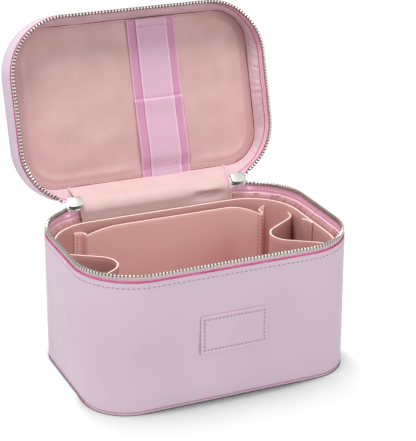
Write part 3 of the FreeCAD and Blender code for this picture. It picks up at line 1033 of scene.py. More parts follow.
def noise_at(finish, place, size, detail=NOISE_DETAIL):
    """Noise whose features are about one size across."""
    inputs = {"Vector": place, "Scale": 1 / size, "Detail": detail}
    return add_node(finish, "ShaderNodeTexNoise", inputs).outputs[0]


def carried(finish, value, low, high, to_low=0.0, to_high=1.0):
    """A value carried over from one range to another."""
    inputs = {"Value": value, "From Min": low, "From Max": high, "To Min": to_low, "To Max": to_high}
    return add_node(finish, "ShaderNodeMapRange", inputs).outputs[0]


def spread(finish, value, low=0.0, high=1.0):
    """Noise drawn out to a range."""
    return carried(finish, value, NOISE_LOW, NOISE_HIGH, low, high)


def two_tone(finish, share, first, second):
    """Mix two colours, or a colour into the output of an earlier mix, and give the mix's output."""
    mix = add_node(finish, "ShaderNodeMix", {0: share, 6: first, 7: second}, data_type="RGBA").outputs[2]
    to_shader(finish, "Base Color", mix)
    return mix


def uneven_gloss(finish, value, roughness, glossier, duller):
    to_shader(finish, "Roughness", spread(finish, value, roughness - glossier, roughness + duller))


def emboss(finish, height, strength, depth):
    bump = add_node(finish, "ShaderNodeBump", {"Height": height, "Strength": strength, "Distance": depth})
    to_shader(finish, "Normal", bump.outputs[0])


def combined(finish, operation, first, second):
    return add_node(finish, "ShaderNodeMath", {0: first, 1: second}, operation=operation).outputs[0]


def leather_finish(name, light, dark, grain=LEATHER_GRAIN, roughness=LEATHER_ROUGHNESS):
    """Faux leather: a pebbled grain, faint clouds of tone and an uneven sheen."""
    finish = new_finish(name, roughness, Specular_IOR_Level=LEATHER_SPECULAR)
    place = surface_place(finish)
    pebbles = add_node(finish, "ShaderNodeTexVoronoi", {"Vector": place, "Scale": 1 / grain}).outputs[0]
    pores = noise_at(finish, place, grain / 3)
    height = combined(finish, "ADD", pebbles, pores)
    emboss(finish, height, LEATHER_BUMP, LEATHER_BUMP_DEPTH)
    clouds = noise_at(finish, place, LEATHER_CLOUD_SIZE, LEATHER_CLOUD_DETAIL)
    two_tone(finish, spread(finish, clouds), linear(light), linear(dark))
    gloss = noise_at(finish, place, LEATHER_GLOSS_SIZE)
    uneven_gloss(finish, gloss, roughness, LEATHER_GLOSSIER, LEATHER_DULLER)
    return finish


def lining_finish(name, light, dark):
    """Satin lining: fine threads, and a mottled sheen."""
    finish = new_finish(name, SATIN_ROUGHNESS, Specular_IOR_Level=SATIN_SPECULAR, Sheen_Weight=SATIN_SHEEN)
    place = surface_place(finish)
    threads = noise_at(finish, place, SATIN_THREAD, SATIN_THREAD_DETAIL)
    mottle = noise_at(finish, place, SATIN_MOTTLE_SIZE)
    emboss(finish, threads, SATIN_BUMP, SATIN_BUMP_DEPTH)
    two_tone(finish, spread(finish, mottle), linear(light), linear(dark))
    uneven_gloss(finish, mottle, SATIN_ROUGHNESS, SATIN_GLOSSIER, SATIN_DULLER)
    return finish


def ribs(finish, place, pitch, direction):
    """Ridges with one pitch, across U or V."""
    inputs = {"Vector": place, "Scale": 2 * math.pi / pitch / WAVE_FACTOR}
    return add_node(finish, "ShaderNodeTexWave", inputs, bands_direction=direction).outputs["Fac"]


def woven_finish(name, light, dark, rib_pitch, warp_pitch, roughness, selvedge=None):
    """Woven band on a UV map in metres; selvedge is (half width, edge width, colour)."""
    finish = new_finish(name, roughness, Specular_IOR_Level=WOVEN_SPECULAR, Sheen_Weight=WOVEN_SHEEN)
    place = surface_place(finish, "UV")
    weft = ribs(finish, place, rib_pitch, "Y")
    warp = ribs(finish, place, warp_pitch, "X")
    weave = combined(finish, "MULTIPLY", weft, warp)
    emboss(finish, weave, WOVEN_BUMP, WOVEN_BUMP_DEPTH)
    tone = two_tone(finish, weave, linear(dark), linear(light))
    if selvedge:
        half, edge, colour = selvedge
        across = add_node(finish, "ShaderNodeSeparateXYZ", {0: place}).outputs[0]
        away = combined(finish, "ABSOLUTE", across, 0.0)
        share = carried(finish, away, half - edge, half - edge * SELVEDGE_FADE)
        two_tone(finish, share, tone, linear(colour))
    return finish


def metal_finish(name, colour, roughness):
    """Plated metal with smears and fine scratches."""
    finish = new_finish(name, roughness, Metallic=1.0, Base_Color=linear(colour))
    place = surface_place(finish)
    smears = noise_at(finish, place, METAL_SMEAR_SIZE)
    uneven_gloss(finish, smears, roughness, METAL_GLOSSIER, METAL_DULLER)
    scratches = noise_at(finish, place, METAL_SCRATCH_SIZE)
    emboss(finish, scratches, METAL_BUMP, METAL_BUMP_DEPTH)
    return finish


def fibre_finish(name, light, dark, roughness, size=FIBRE_SIZE):
    """Plain fibrous stuff: cord, thread, cut edge, board or foam."""
    finish = new_finish(name, roughness, Specular_IOR_Level=FIBRE_SPECULAR)
    place = surface_place(finish)
    fibres = noise_at(finish, place, size, FIBRE_DETAIL)
    emboss(finish, fibres, FIBRE_BUMP, size / FIBRE_FLATNESS)
    two_tone(finish, spread(finish, fibres), linear(light), linear(dark))
    return finish


def thread_finish(name, light, dark):
    return fibre_finish(name, light, dark, THREAD_ROUGHNESS, THREAD_SIZE)


FINISH = {
    "leather": leather_finish("lavender_leather", (217, 196, 209), (211, 189, 206)),
    # Pink edge paint of the patch's sides, darkened for the shade along the edge: real paint and painted
    # shade
    "edge_paint": fibre_finish("pink_edge_paint", (188, 106, 146), (174, 90, 132),
                               roughness=0.4, size=0.8 * MM),
    "lining": lining_finish("pink_lining", (211, 174, 172), (206, 168, 166)),
    # Darker copy of the lining for the body's gathered lining: painted shade deep in the gap
    "body_lining": lining_finish("body_lining_cloth", (200, 152, 152), (184, 134, 136)),
    "lid_band": lining_finish("lid_band_lining", (220, 193, 198), (210, 181, 187)),
    "hem": lining_finish("lining_hem", (242, 216, 218), (232, 202, 205)),
    # Dark hem cord of the lid band: partly its seam, partly a painted shadow line between tape and band
    "band_hem": lining_finish("lid_band_hem", (196, 128, 152), (182, 112, 138)),
    "hinge_cloth": lining_finish("hinge_lining", (220, 191, 190), (213, 182, 181)),
    "tape": woven_finish("zip_tape", (252, 214, 232), (241, 190, 213), TAPE_RIB, TAPE_WARP, TAPE_ROUGHNESS),
    "tape_bead": fibre_finish("zip_tape_bead", (240, 208, 226), (226, 188, 210), roughness=0.7),
    "tape_seam": fibre_finish("tape_seam", (216, 146, 184), (202, 128, 168), roughness=0.6),
    # Magenta cord: painted shade of the zip tape in the gap between the teeth and the leather
    "edge_cord": fibre_finish("magenta_edge_cord", (210, 106, 154), (186, 68, 120),
                              roughness=0.5, size=9 * MM),
    "seam": fibre_finish("seam_shadow", (142, 62, 76), (128, 54, 68), roughness=0.7),
    "base_seam": fibre_finish("base_seam", (204, 146, 174), (190, 130, 160), roughness=0.6),
    "top_seam": fibre_finish("top_seam", (208, 184, 200), (196, 170, 188), roughness=0.6),
    "metal": metal_finish("zip_metal", (190, 187, 178), roughness=0.3),
    # Dull dark flanks of the teeth: painted shade in the gaps between them
    "tooth_gap_shade": fibre_finish("zip_metal_flank", (146, 132, 126), (124, 112, 106), roughness=0.5),
    "bright_metal": metal_finish("slider_metal", (214, 214, 208), roughness=0.3),
    # Darker copy of the slider metal for its sides: painted shade
    "slider_side": metal_finish("slider_side", (122, 112, 104), roughness=0.42),
    "insert": leather_finish("insert_sheet", (212, 164, 160), (204, 155, 151), SHEET_GRAIN, SHEET_ROUGHNESS),
    # Lighter copy of the insert sheet for the back pocket: painted light on its front
    "pocket": leather_finish("pocket_sheet", (240, 200, 195), (234, 192, 187), SHEET_GRAIN, SHEET_ROUGHNESS),
    "raw_edge": fibre_finish("cream_raw_edge", (252, 232, 220), (243, 218, 205), roughness=0.7),
    # For each stuff, its thread and a dark hole colour, which is painted shade in the stitch holes
    "thread": thread_finish("stitch_thread", (212, 190, 204), (202, 178, 194)),
    "stitch_hole": thread_finish("stitch_hole", (134, 104, 126), (118, 90, 112)),
    "lining_thread": thread_finish("lining_thread", (212, 174, 173), (202, 163, 163)),
    "lining_stitch_hole": thread_finish("lining_stitch_hole", (184, 138, 139), (172, 126, 128)),
    "elastic_thread": thread_finish("elastic_thread", (222, 176, 204), (210, 164, 192)),
    "elastic_stitch_hole": thread_finish("elastic_stitch_hole", (176, 122, 156), (164, 110, 144)),
    "insert_thread": thread_finish("insert_thread", (210, 162, 158), (201, 153, 149)),
    "insert_stitch_hole": thread_finish("insert_stitch_hole", (124, 76, 74), (112, 66, 64)),
    # Lighter thread and holes for the back pocket: painted light, as on its sheet
    "pocket_thread": thread_finish("pocket_thread", (238, 198, 193), (230, 188, 183)),
    "pocket_stitch_hole": thread_finish("pocket_stitch_hole", (160, 104, 101), (146, 92, 89)),
    "board": fibre_finish("board", (196, 190, 180), (172, 165, 154), roughness=0.9, size=1.2 * MM),
    "foam": fibre_finish("foam", (238, 234, 226), (222, 216, 206), roughness=0.95, size=0.9 * MM),
}


# Body of the case

def body_leather():
    """Wall of the body: rolled in at the base, with a rounded turned edge at the rim."""
    low = BASE_TOP - BASE_EDGE
    obj = raise_plate(plan_plate("body_leather", 0, low), BODY_TOP - low)
    bevel_rim(obj, low, ROLLED_EDGE, ROLLED_EDGE_STEPS)
    drop_faces(obj, lambda p: min(abs(p.z - low), abs(p.z - BODY_TOP)) < TOUCH)
    thicken(obj, LEATHER, -1)
    soften(obj, TURNED_EDGE, ROUND_EDGE_STEPS)
    push(obj, taper)
    hand_over(obj, FINISH["leather"], "case", "lavender_leather", "body_wall")


def base_leather():
    """Bottom of the case, with a soft turned edge and the seam that joins it to the wall."""
    obj = raise_plate(plan_plate("base_leather", BASE_EDGE / 2, 0), BASE_TOP)
    bevel_rim(obj, 0, BASE_EDGE, ROUND_EDGE_STEPS)
    bevel_rim(obj, BASE_TOP, BASE_EDGE / 2)
    push(obj, taper)
    hand_over(obj, FINISH["leather"], "case", "lavender_leather", "base_cover")
    guide = outline_guide(BASE_EDGE / 2, BASE_TOP - SEAM_CORD / 2, True)
    seam = edge_cord("base_seam", guide, SEAM_CORD)
    push(seam, taper)
    hand_over(seam, FINISH["base_seam"], "case", "lavender_leather")


def gathers(point, depth):
    """How far the lining's gathers stand in from the wall, a little below its sewn edge."""
    fold = max(0, min(1, GATHER_MEAN + plan_noise(point, GATHER_SIZE)))
    past_hinge = abs(point.x) - HINGE_HALF
    clear = 1 if point.y < 0 else ramp(past_hinge, GATHER_CLEAR_FROM, GATHER_CLEAR_TO)
    below_edge = ramp(depth, 0, GATHER_START) * (1 - ramp(depth, GATHER_FADE_FROM, GATHER_FADE_TO))
    return -GATHER * fold * clear * below_edge


def hem_wave(point):
    """Uneven height of the lining's sewn edge."""
    return Vector((0, 0, plan_noise(point, HEM_WAVE_SIZE) * HEM_WAVE))


def lining_lean(depth):
    """How far the lining's edge leans out to meet the tape."""
    return (WALL - LINING / 2 - ZIP_INSET - TAPE) * (1 - ramp(depth, LEAN_FROM, LEAN_TO))


def lining_hem(name, z, finish, body):
    """Rolled hem along the sewn edge of a lining."""
    inset = WALL - LINING / 2 - lining_lean(0)
    hem = edge_cord(name, outline_guide(inset, z, True), HEM_CORD)
    push(hem, hem_wave)
    hand_over(hem, FINISH[finish], body, "pink_lining")


def body_lining():
    """Lining of the wall, gathered along its sewn top edge with a rolled hem, and of the floor. Its cloth is
    a darker copy of the lining: painted shade.
    """
    inset = WALL - LINING / 2
    top = BODY_TOP - LINING_DROP
    heights = [FLOOR_TOP, FLOOR_TOP + LINING_FOOT] + heights_between(top - GATHER_DEPTH, top, GATHER_ROWS)
    obj = plan_wall("body_lining_cloth", inset, heights, GATHER_CORNER_STEPS)
    cut_long_sides(obj, GATHER_STEP)

    def shape(point):
        depth = top - point.z
        wave = hem_wave(point) * (1 - ramp(depth, 0, HEM_WAVE_FADE))
        return outward(point) * (lining_lean(depth) + gathers(point, depth)) + wave

    push(obj, shape)
    thicken(obj, LINING / 2)
    floor = raise_plate(plan_plate("body_floor_cloth", inset, FLOOR_TOP - LINING), LINING)
    obj = join([obj, floor])
    push(obj, taper)
    hand_over(obj, FINISH["body_lining"], "case", "pink_lining", "body_lining")
    lining_hem("body_lining_hem", top, "hem", "case")


def front_patch():
    """Blank stitched patch on the front, puffed beside the groove that its stitches pull in."""
    low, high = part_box("front_patch")
    half = (high - low) / 2
    centre = (high + low) / 2
    thick = high.y - low.y
    sheet = rounded_grid("front_patch_leather", half.x, half.z, PATCH_CORNER, 0, PATCH_COLUMNS)
    obj = raise_plate(sheet, thick)

    def puff(point):
        if point.z < TOUCH:
            return Vector()
        depth = edge_distance(point, half.x, half.z, PATCH_CORNER)
        edge = PATCH_ROUND * (1 - ramp(depth, 0, 2 * PATCH_ROUND))
        groove = PATCH_GROOVE * bump_at(depth - PATCH_STITCH_INSET, PATCH_GROOVE_WIDTH)
        return Vector((0, 0, -edge - groove))

    push(obj, puff)
    # The patch's sides take the pink edge paint, darkened as painted shade
    paint(obj, 1, lambda p, n: abs(n.z) < PATCH_SIDE_BELOW)
    face = thick - PATCH_STITCH_SINK
    corners = [Vector((sx * (half.x - PATCH_STITCH_INSET), sy * (half.z - PATCH_STITCH_INSET), face))
               for sx, sy in ((-1, -1), (1, -1), (1, 1), (-1, 1))]
    rows = [stitch_line("front_patch_stitches", start, end, Vector((0, 0, 1)))
            for start, end in zip(corners, corners[1:] + corners[:1])]
    place = Vector((centre.x, high.y, centre.z)) + taper(Vector((centre.x, low.y, centre.z)))
    upright = Matrix.Translation(place) @ Matrix.Rotation(math.pi / 2, 4, "X")
    for piece in [obj] + rows:
        piece.data.transform(upright)
    hand_over(obj, [FINISH["leather"], FINISH["edge_paint"]], "case", "lavender_leather", "front_patch")
    sew(rows, "", "case", "lavender_leather")


# Zip

def zip_side(side, body):
    """One half of the zip: its tape, its teeth on their bead, and a magenta cord at the leather's edge,
    which is painted shade of the tape in its gap.

    side is -1 for the body's half, which points up, and 1 for the lid's, which is its mirror.
    """
    name = "body" if side < 0 else "lid"

    def height(z):
        return z if side < 0 else 2 * PARTING - z

    length = outline_length(ZIP_INSET, False)
    low = BODY_TOP - TAPE_SEWN
    high = PARTING - TOOTH_FOOT
    clear_selection()
    columns = round(length / TAPE_STEP)
    place = (length / 2, 0, (low + high) / 2)
    bpy.ops.mesh.primitive_grid_add(x_subdivisions=columns, y_subdivisions=TAPE_ROWS, size=1,
                                    location=place, rotation=(math.pi / 2, 0, 0))
    tape = settle(name + "_zip_cloth", (length, high - low, 1))
    lay_uv(tape, lambda p: (p.x, p.z))

    def droop(point):
        near = min(point.x, length - point.x)
        share = (point.z - low) / (high - low)
        fall = max(0, 1 - near / TAPE_END_DROP)
        return Vector((0, 0, -fall * share * TAPE_END_FALL * (high - BODY_TOP)))

    push(tape, droop)
    for vertex in tape.data.vertices:
        vertex.co.z = height(vertex.co.z)
    wrap(tape, outline_guide(ZIP_INSET, 0, False))
    push(tape, through_slider)
    face_out(tape)
    thicken(tape, TAPE)
    hand_over(tape, FINISH["tape"], body, "zip_tape", name + "_zip_tape")

    # Magenta cord along the leather's edge: painted shade of the zip tape in its gap, thicker at the lid's
    # ends
    radius, ends = (EDGE_CORD, 1.0) if side < 0 else (LID_EDGE_CORD, LID_EDGE_CORD_ENDS)
    guide = outline_guide(EDGE_CORD, height(BODY_TOP + EDGE_CORD_RISE), False)
    cord = edge_cord(name + "_edge_cord", guide, radius, ends)
    push(cord, lambda p: Vector((0, 0, side * CORD_SINK * beside_slider(p))))
    hand_over(cord, FINISH["edge_cord"], body, "zip_tape")

    guide = outline_guide(ZIP_INSET + TAPE / 2, height(BODY_TOP - TAPE_SEAM_DROP), False)
    line = edge_cord(name + "_tape_seam", guide, TAPE_SEAM)
    hand_over(line, FINISH["tape_seam"], body, "zip_tape")

    teeth = zip_teeth(name + "_zip_chain", side)
    finishes = [FINISH["metal"], FINISH["tooth_gap_shade"], FINISH["tape_bead"]]
    hand_over(teeth, finishes, body, "zip_metal", name + "_zip_teeth")


def beside_slider(point):
    """1 along a parked slider, falling off before and behind it."""
    across = abs(point.x)
    ahead = ramp(across, SLIDER_START - SLIDER_LEAD, SLIDER_START)
    return ahead * (1 - ramp(across, TEETH_START, TEETH_START + SLIDER_TRAIL)) if point.y > 0 else 0


def through_slider(point):
    """How the zip leaves the curve of the corner to run straight through a parked slider."""
    beside = beside_slider(point)
    if not beside:
        return Vector()
    reach = PARTING - SLIDER_LOW
    near = 1 - ramp(abs(point.z - PARTING), reach, reach + TAPE_LEAN)
    straight = back_wall_y((SLIDER_START + TEETH_START) / 2, ZIP_INSET)
    return Vector((0, (straight - back_wall_y(point.x, ZIP_INSET)) * beside * near, 0))


def tooth(name):
    """One tooth, its parting line on Z 0: a clamped foot, a shoulder and a narrower head."""
    clear_selection()
    foot = TOOTH_FOOT - TOOTH_NECK
    bpy.ops.mesh.primitive_cube_add(size=1, location=(0, 0, -TOOTH_NECK - foot / 2))
    obj = settle(name, (TOOTH_FOOT_WIDTH, TOOTH_THICK, foot))
    edit(obj, "FACE")
    pick("faces", lambda p: abs(p.z + TOOTH_NECK) < TOUCH)
    bpy.ops.mesh.extrude_region_move(TRANSFORM_OT_translate={"value": (0, 0, TOOTH_SHOULDER)})
    bpy.ops.transform.resize(value=(TOOTH_HEAD_WIDTH / TOOTH_FOOT_WIDTH, 1, 1))
    head = TOOTH_NECK + TOOTH_MESH - TOOTH_SHOULDER
    bpy.ops.mesh.extrude_region_move(TRANSFORM_OT_translate={"value": (0, 0, head)})
    bpy.ops.transform.resize(value=(1, 1 - 2 * TOOTH_TAPER / TOOTH_THICK, 1))
    done()
    bevel_rim(obj, TOOTH_MESH, TOOTH_ROUND, 1)
    obj.data.materials.append(FINISH["metal"])
    obj.data.materials.append(FINISH["tooth_gap_shade"])
    # The flanks that face along the row take the dark finish: painted shade between the teeth
    paint(obj, 1, lambda p, n: abs(n.x) > TOOTH_SHADE_ABOVE)
    return obj


def zip_teeth(name, side):
    """A row of teeth from slider to slider; the lid's row lies in the gaps of the body's."""
    radius = CORNER_RADIUS - ZIP_INSET
    start = radius * math.asin((TEETH_START - CORNER_X) / radius) + TOOTH_PITCH / 2 + SLIDER_GAP
    run = outline_length(ZIP_INSET, False) - 2 * start
    gaps = round(run / TOOTH_PITCH)
    pitch = run / gaps
    count = gaps + 1 if side < 0 else gaps
    shift = 0 if side < 0 else pitch / 2
    obj = tooth(name)
    clear_selection()
    bpy.ops.mesh.primitive_cylinder_add(vertices=ROUND_SIDES, radius=TAPE_BEAD, depth=pitch,
                                        end_fill_type="NOTHING", location=(0, 0, -TOOTH_FOOT),
                                        rotation=(0, math.pi / 2, 0))
    bead = settle(name + "_bead")
    bead.data.materials.append(FINISH["tape_bead"])
    obj = join([obj, bead])
    if side > 0:
        obj.data.transform(Matrix.Rotation(math.pi, 4, "X"))
    obj.data.transform(Matrix.Translation((start + shift, 0, 0)))
    repeat(obj, count, pitch)
    wrap(obj, outline_guide(ZIP_INSET, PARTING, False))
    push(obj, through_slider)
    return obj


# Lid

def lid_leather():
    """Wall of the lid, and its padded top with the seam between them."""
    wall = plan_wall("lid_wall_leather", 0, heights_between(LID_RIM, LID_SEAM, LID_WALL_ROWS))
    thicken(wall, LEATHER, -1)
    soften(wall, TURNED_EDGE, ROUND_EDGE_STEPS)
    hand_over(wall, FINISH["leather"], "lid", "lavender_leather", "lid_wall")

    top = raise_plate(plan_plate("lid_top_leather", 0, LID_SEAM), LID_TOP_EDGE)
    bevel_rim(top, LID_SEAM, LID_TOP_ROUND)
    step_in(top, LID_SEAM + LID_TOP_EDGE, LID_TOP_STEPS)
    hand_over(top, FINISH["leather"], "lid", "lavender_leather", "lid_top_cover")
    seam = edge_cord("lid_top_seam", outline_guide(SEAM_CORD / 2, LID_SEAM, True), SEAM_CORD)
    hand_over(seam, FINISH["top_seam"], "lid", "lavender_leather")


def seam_waver(point):
    """Sideways unevenness of the seam round the lid's panel."""
    return outward(point) * plan_noise(point, LID_SEAM_WAVER_SIZE) * LID_SEAM_WAVER


def seam_place(point):
    """The point of the panel's seam that faces a point of the lid's rim."""
    return facing_place(point, SEAM_HALF_X, SEAM_HALF_Y, LID_SEAM_CORNER) + SEAM_SHIFT + seam_waver(point)


def lid_panel():
    """Soft panel in the lid, wrinkled between its seam and the elastic, with stitches beside the seam."""
    inset = LEATHER + WALL_BOARD
    half_x = HALF_X - inset
    half_y = HALF_Y - inset
    panel = rounded_grid("lid_panel_cloth", half_x, half_y, CORNER_RADIUS - inset, LID_PANEL + LINING / 2,
                         PANEL_COLUMNS)
    low, high = shut_box("elastic_wide")

    def wrinkle(point):
        beside = ramp(max(low.x - point.x, point.x - high.x), PANEL_HELD, PANEL_LOOSE)
        depth = edge_distance(point - SEAM_SHIFT, SEAM_HALF_X, SEAM_HALF_Y, LID_SEAM_CORNER)
        height = PANEL_WRINKLE_MEAN
        for size_x, size_y, layer, share in PANEL_WRINKLES:
            height += share * noise.noise(Vector((point.x / size_x, point.y / size_y, layer)))
        slack = max(0, height) * PANEL_WRINKLE * ramp(depth, PANEL_WRINKLE_FROM, PANEL_WRINKLE_TO)
        roll = PANEL_ROLL * bump_at(depth - PANEL_ROLL_INSET, PANEL_ROLL_WIDTH)
        return Vector((0, 0, -beside * (slack + roll)))

    push(panel, wrinkle)
    thicken(panel, LINING / 2)
    hand_over(panel, FINISH["lining"], "lid", "pink_lining", "lid_lining_panel")

    plan = [size - SEAM_STITCH_INSET for size in (SEAM_HALF_X, SEAM_HALF_Y, LID_SEAM_CORNER)]
    row = stitch_row("lid_seam_stitches", plan_length(*plan), FINE_PITCH)
    row.data.transform(Matrix.Rotation(math.pi, 4, "X"))
    wrap(row, plan_guide(*plan, LID_PANEL + LINING / 4))
    row.data.transform(Matrix.Translation(SEAM_SHIFT))
    sew([row], "lining_", "lid", "pink_lining")


def lid_band():
    """Leaning band between the lid's rim and its panel, with its hem and the panel's seam."""
    inset = WALL - LINING / 2
    low = LID_RIM + LID_LINING_DROP
    heights = heights_between(low, LID_PANEL, BAND_ROWS)
    band = plan_wall("lid_band_cloth", inset, heights, GATHER_CORNER_STEPS)
    cut_long_sides(band, GATHER_STEP)

    def lean(point):
        depth = point.z - low
        share = depth / (LID_PANEL - low)
        held = point + outward(point) * (lining_lean(depth) + gathers(point, depth) / 2)
        wave = hem_wave(point) * (1 - ramp(share, 0, BAND_WAVE_FADE))
        return held.lerp(seam_place(point), share) - point + wave

    push(band, lean)
    thicken(band, LINING / 2)
    hand_over(band, FINISH["lid_band"], "lid", "pink_lining", "lid_lining_band")

    # The band's hem cord is darkened: partly seam, partly a painted shadow line
    lining_hem("lid_lining_hem", low, "band_hem", "lid")
    guide = plan_guide(SEAM_HALF_X, SEAM_HALF_Y, LID_SEAM_CORNER, LID_PANEL)
    seam = edge_cord("lid_panel_seam", guide, PANEL_CORD)
    seam.data.transform(Matrix.Translation(SEAM_SHIFT))
    push(seam, seam_waver)
    hand_over(seam, FINISH["seam"], "lid", "pink_lining")


def elastic_band(name, node, light, dark, edge):
    """One layer of elastic with raised selvedges, folded hems at both ends and a sewn tuck between."""
    low, high = shut_box(node)
    width = high.x - low.x
    length = high.y - low.y
    middle_x = (low.x + high.x) / 2
    middle_z = (low.z + high.z) / 2
    clear_selection()
    bpy.ops.mesh.primitive_grid_add(x_subdivisions=ELASTIC_COLUMNS, y_subdivisions=ELASTIC_ROWS, size=1,
                                    location=(middle_x, 0, middle_z))
    obj = settle(name, (width, length, 1))
    lay_uv(obj, lambda p: (p.x - middle_x, p.y))

    def swell(point):
        to_side = width / 2 - abs(point.x - middle_x)
        to_end = length / 2 - abs(point.y)
        bead = SELVEDGE_BEAD * bump_at(to_side, SELVEDGE)
        hem = ELASTIC_HEM_THICK if to_end < ELASTIC_HEM else 0
        tuck = ELASTIC_TUCK * bump_at(point.y, ELASTIC_TUCK_WIDTH)
        lip = ELASTIC_LIP * (1 - ramp(point.y, 0, length * ELASTIC_LIP_SHARE)) if point.y > 0 else 0
        past_tuck = ramp(point.y, 0, length * ELASTIC_SLACK_FROM_TUCK)
        slack = ELASTIC_SLACK * past_tuck * ramp(to_end, ELASTIC_HEM, length * ELASTIC_SLACK_FROM_END)
        return Vector((0, 0, tuck - bead - hem - lip - slack))

    push(obj, swell)
    thicken(obj, ELASTIC)
    finish = woven_finish(name, light, dark, ELASTIC_RIB, ELASTIC_WARP, ELASTIC_ROUGHNESS,
                          (width / 2, SELVEDGE, edge))
    hand_over(obj, finish, "lid", "elastic", node)
    face = middle_z - ELASTIC / 2
    hem_y = length / 2 - ELASTIC_HEM
    rows = []
    for y, side in ((-hem_y, -1), (0, 1), (hem_y, -1)):
        start = Vector((low.x + ELASTIC_STITCH_MARGIN, y, face + side * ELASTIC_STITCH_LIFT))
        end = Vector((high.x - ELASTIC_STITCH_MARGIN, y, start.z))
        rows.append(stitch_line(name + "_stitches", start, end, Vector((0, 0, -1))))
    sew(rows, "elastic_", "lid", "elastic")


def handle():
    """Bent strap on the lid, its two ends sewn flat."""
    end = HANDLE_LENGTH / 2
    foot = end - HANDLE_SEWN
    top = foot - HANDLE_SLOPE
    low = LID_TOP + HANDLE_THICK / 2
    high = low + HANDLE_RISE
    line = [(-end, low), (-foot, low), (-top, high), (top, high), (foot, low), (end, low)]
    points = [Vector((x, -HANDLE_WIDTH / 2, z)) for x, z in line]
    bends = [HANDLE_FOOT_BEND, HANDLE_GRIP_BEND, HANDLE_GRIP_BEND, HANDLE_FOOT_BEND]
    obj = bent_strip("handle_leather", points, bends, Vector((0, HANDLE_WIDTH, 0)), HANDLE_COLUMNS)
    thicken(obj, HANDLE_THICK)
    soften(obj, HANDLE_ROUND, ROUND_EDGE_STEPS)
    hand_over(obj, FINISH["leather"], "lid", "lavender_leather", "handle_strap")
    face = LID_TOP + HANDLE_THICK
    side_y = HANDLE_WIDTH / 2 - HANDLE_STITCH_MARGIN
    lines = []
    for side in (-1, 1):
        outer = side * (end - HANDLE_STITCH_MARGIN)
        inner = side * (foot + HANDLE_STITCH_MARGIN)
        lines += [((outer, y, face), (inner, y, face)) for y in (-side_y, side_y)]
        lines += [((x, -side_y, face), (x, side_y, face)) for x in (outer, inner)]
    rows = [stitch_line("handle_stitches", Vector(start), Vector(stop), Vector((0, 0, 1)))
            for start, stop in lines]
    sew(rows, "", "lid", "lavender_leather")


# Hinge

def hinge_strip():
    """Leather strip sewn to the backs of the body and the lid, creased along the hinge.

    Its ends are cut in beside the crease, which leaves room for the pulls to swing.
    """
    low = Vector((-HINGE_HALF, HINGE.y, BODY_TOP - HINGE_SEWN))
    crease = Vector((-HINGE_HALF, HINGE.y, PARTING))
    far = swung(HINGE.y, LID_RIM + HINGE_SEWN)
    far.x = -HINGE_HALF
    across = Vector((2 * HINGE_HALF, 0, 0))
    obj = bent_strip("hinge_leather", [low, crease, far], [HINGE_CREASE_RADIUS], across, HINGE_COLUMNS)
    cut_lengths(obj, ((low, crease), (far, crease)), HINGE_CUTS)
    up = (crease - low).normalized()
    on = (far - crease).normalized()
    inwards = (up - on).normalized()

    def tuck(point):
        from_crease = math.hypot(point.y - crease.y, point.z - crease.z)
        near = 1 - ramp(from_crease, 2 * HINGE_CREASE_RADIUS, 3 * HINGE_CREASE_RADIUS)
        inset = HINGE_NOTCH * (1 - ramp(from_crease, HINGE_NOTCH_FROM, HINGE_NOTCH_TO))
        drawn_in = Vector((-inset * point.x / HINGE_HALF, 0, 0))
        return drawn_in + inwards * HINGE_TUCK * near * ramp(abs(point.x), HINGE_TUCK_FROM, HINGE_TUCK_TO)

    push(obj, tuck)
    cut_sheet(obj, HINGE_STRIP)
    wear(obj, FINISH["leather"])
    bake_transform(obj)
    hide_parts("hinge_strip")
    half = HINGE_HALF - HINGE_STITCH_INSET
    face = HINGE.y + HINGE_STRIP / 2
    reach = HINGE_SEWN - HINGE_STITCH_INSET
    for body, z in (("case", BODY_TOP - reach), ("lid", LID_RIM + reach)):
        start = Vector((half, face, z))
        end = Vector((-half, face, z))
        row = stitch_line("hinge_%s_stitches" % body, start, end, Vector((0, 1, 0)), STITCH_PITCH)
        sew([row], "", body, "lavender_leather")


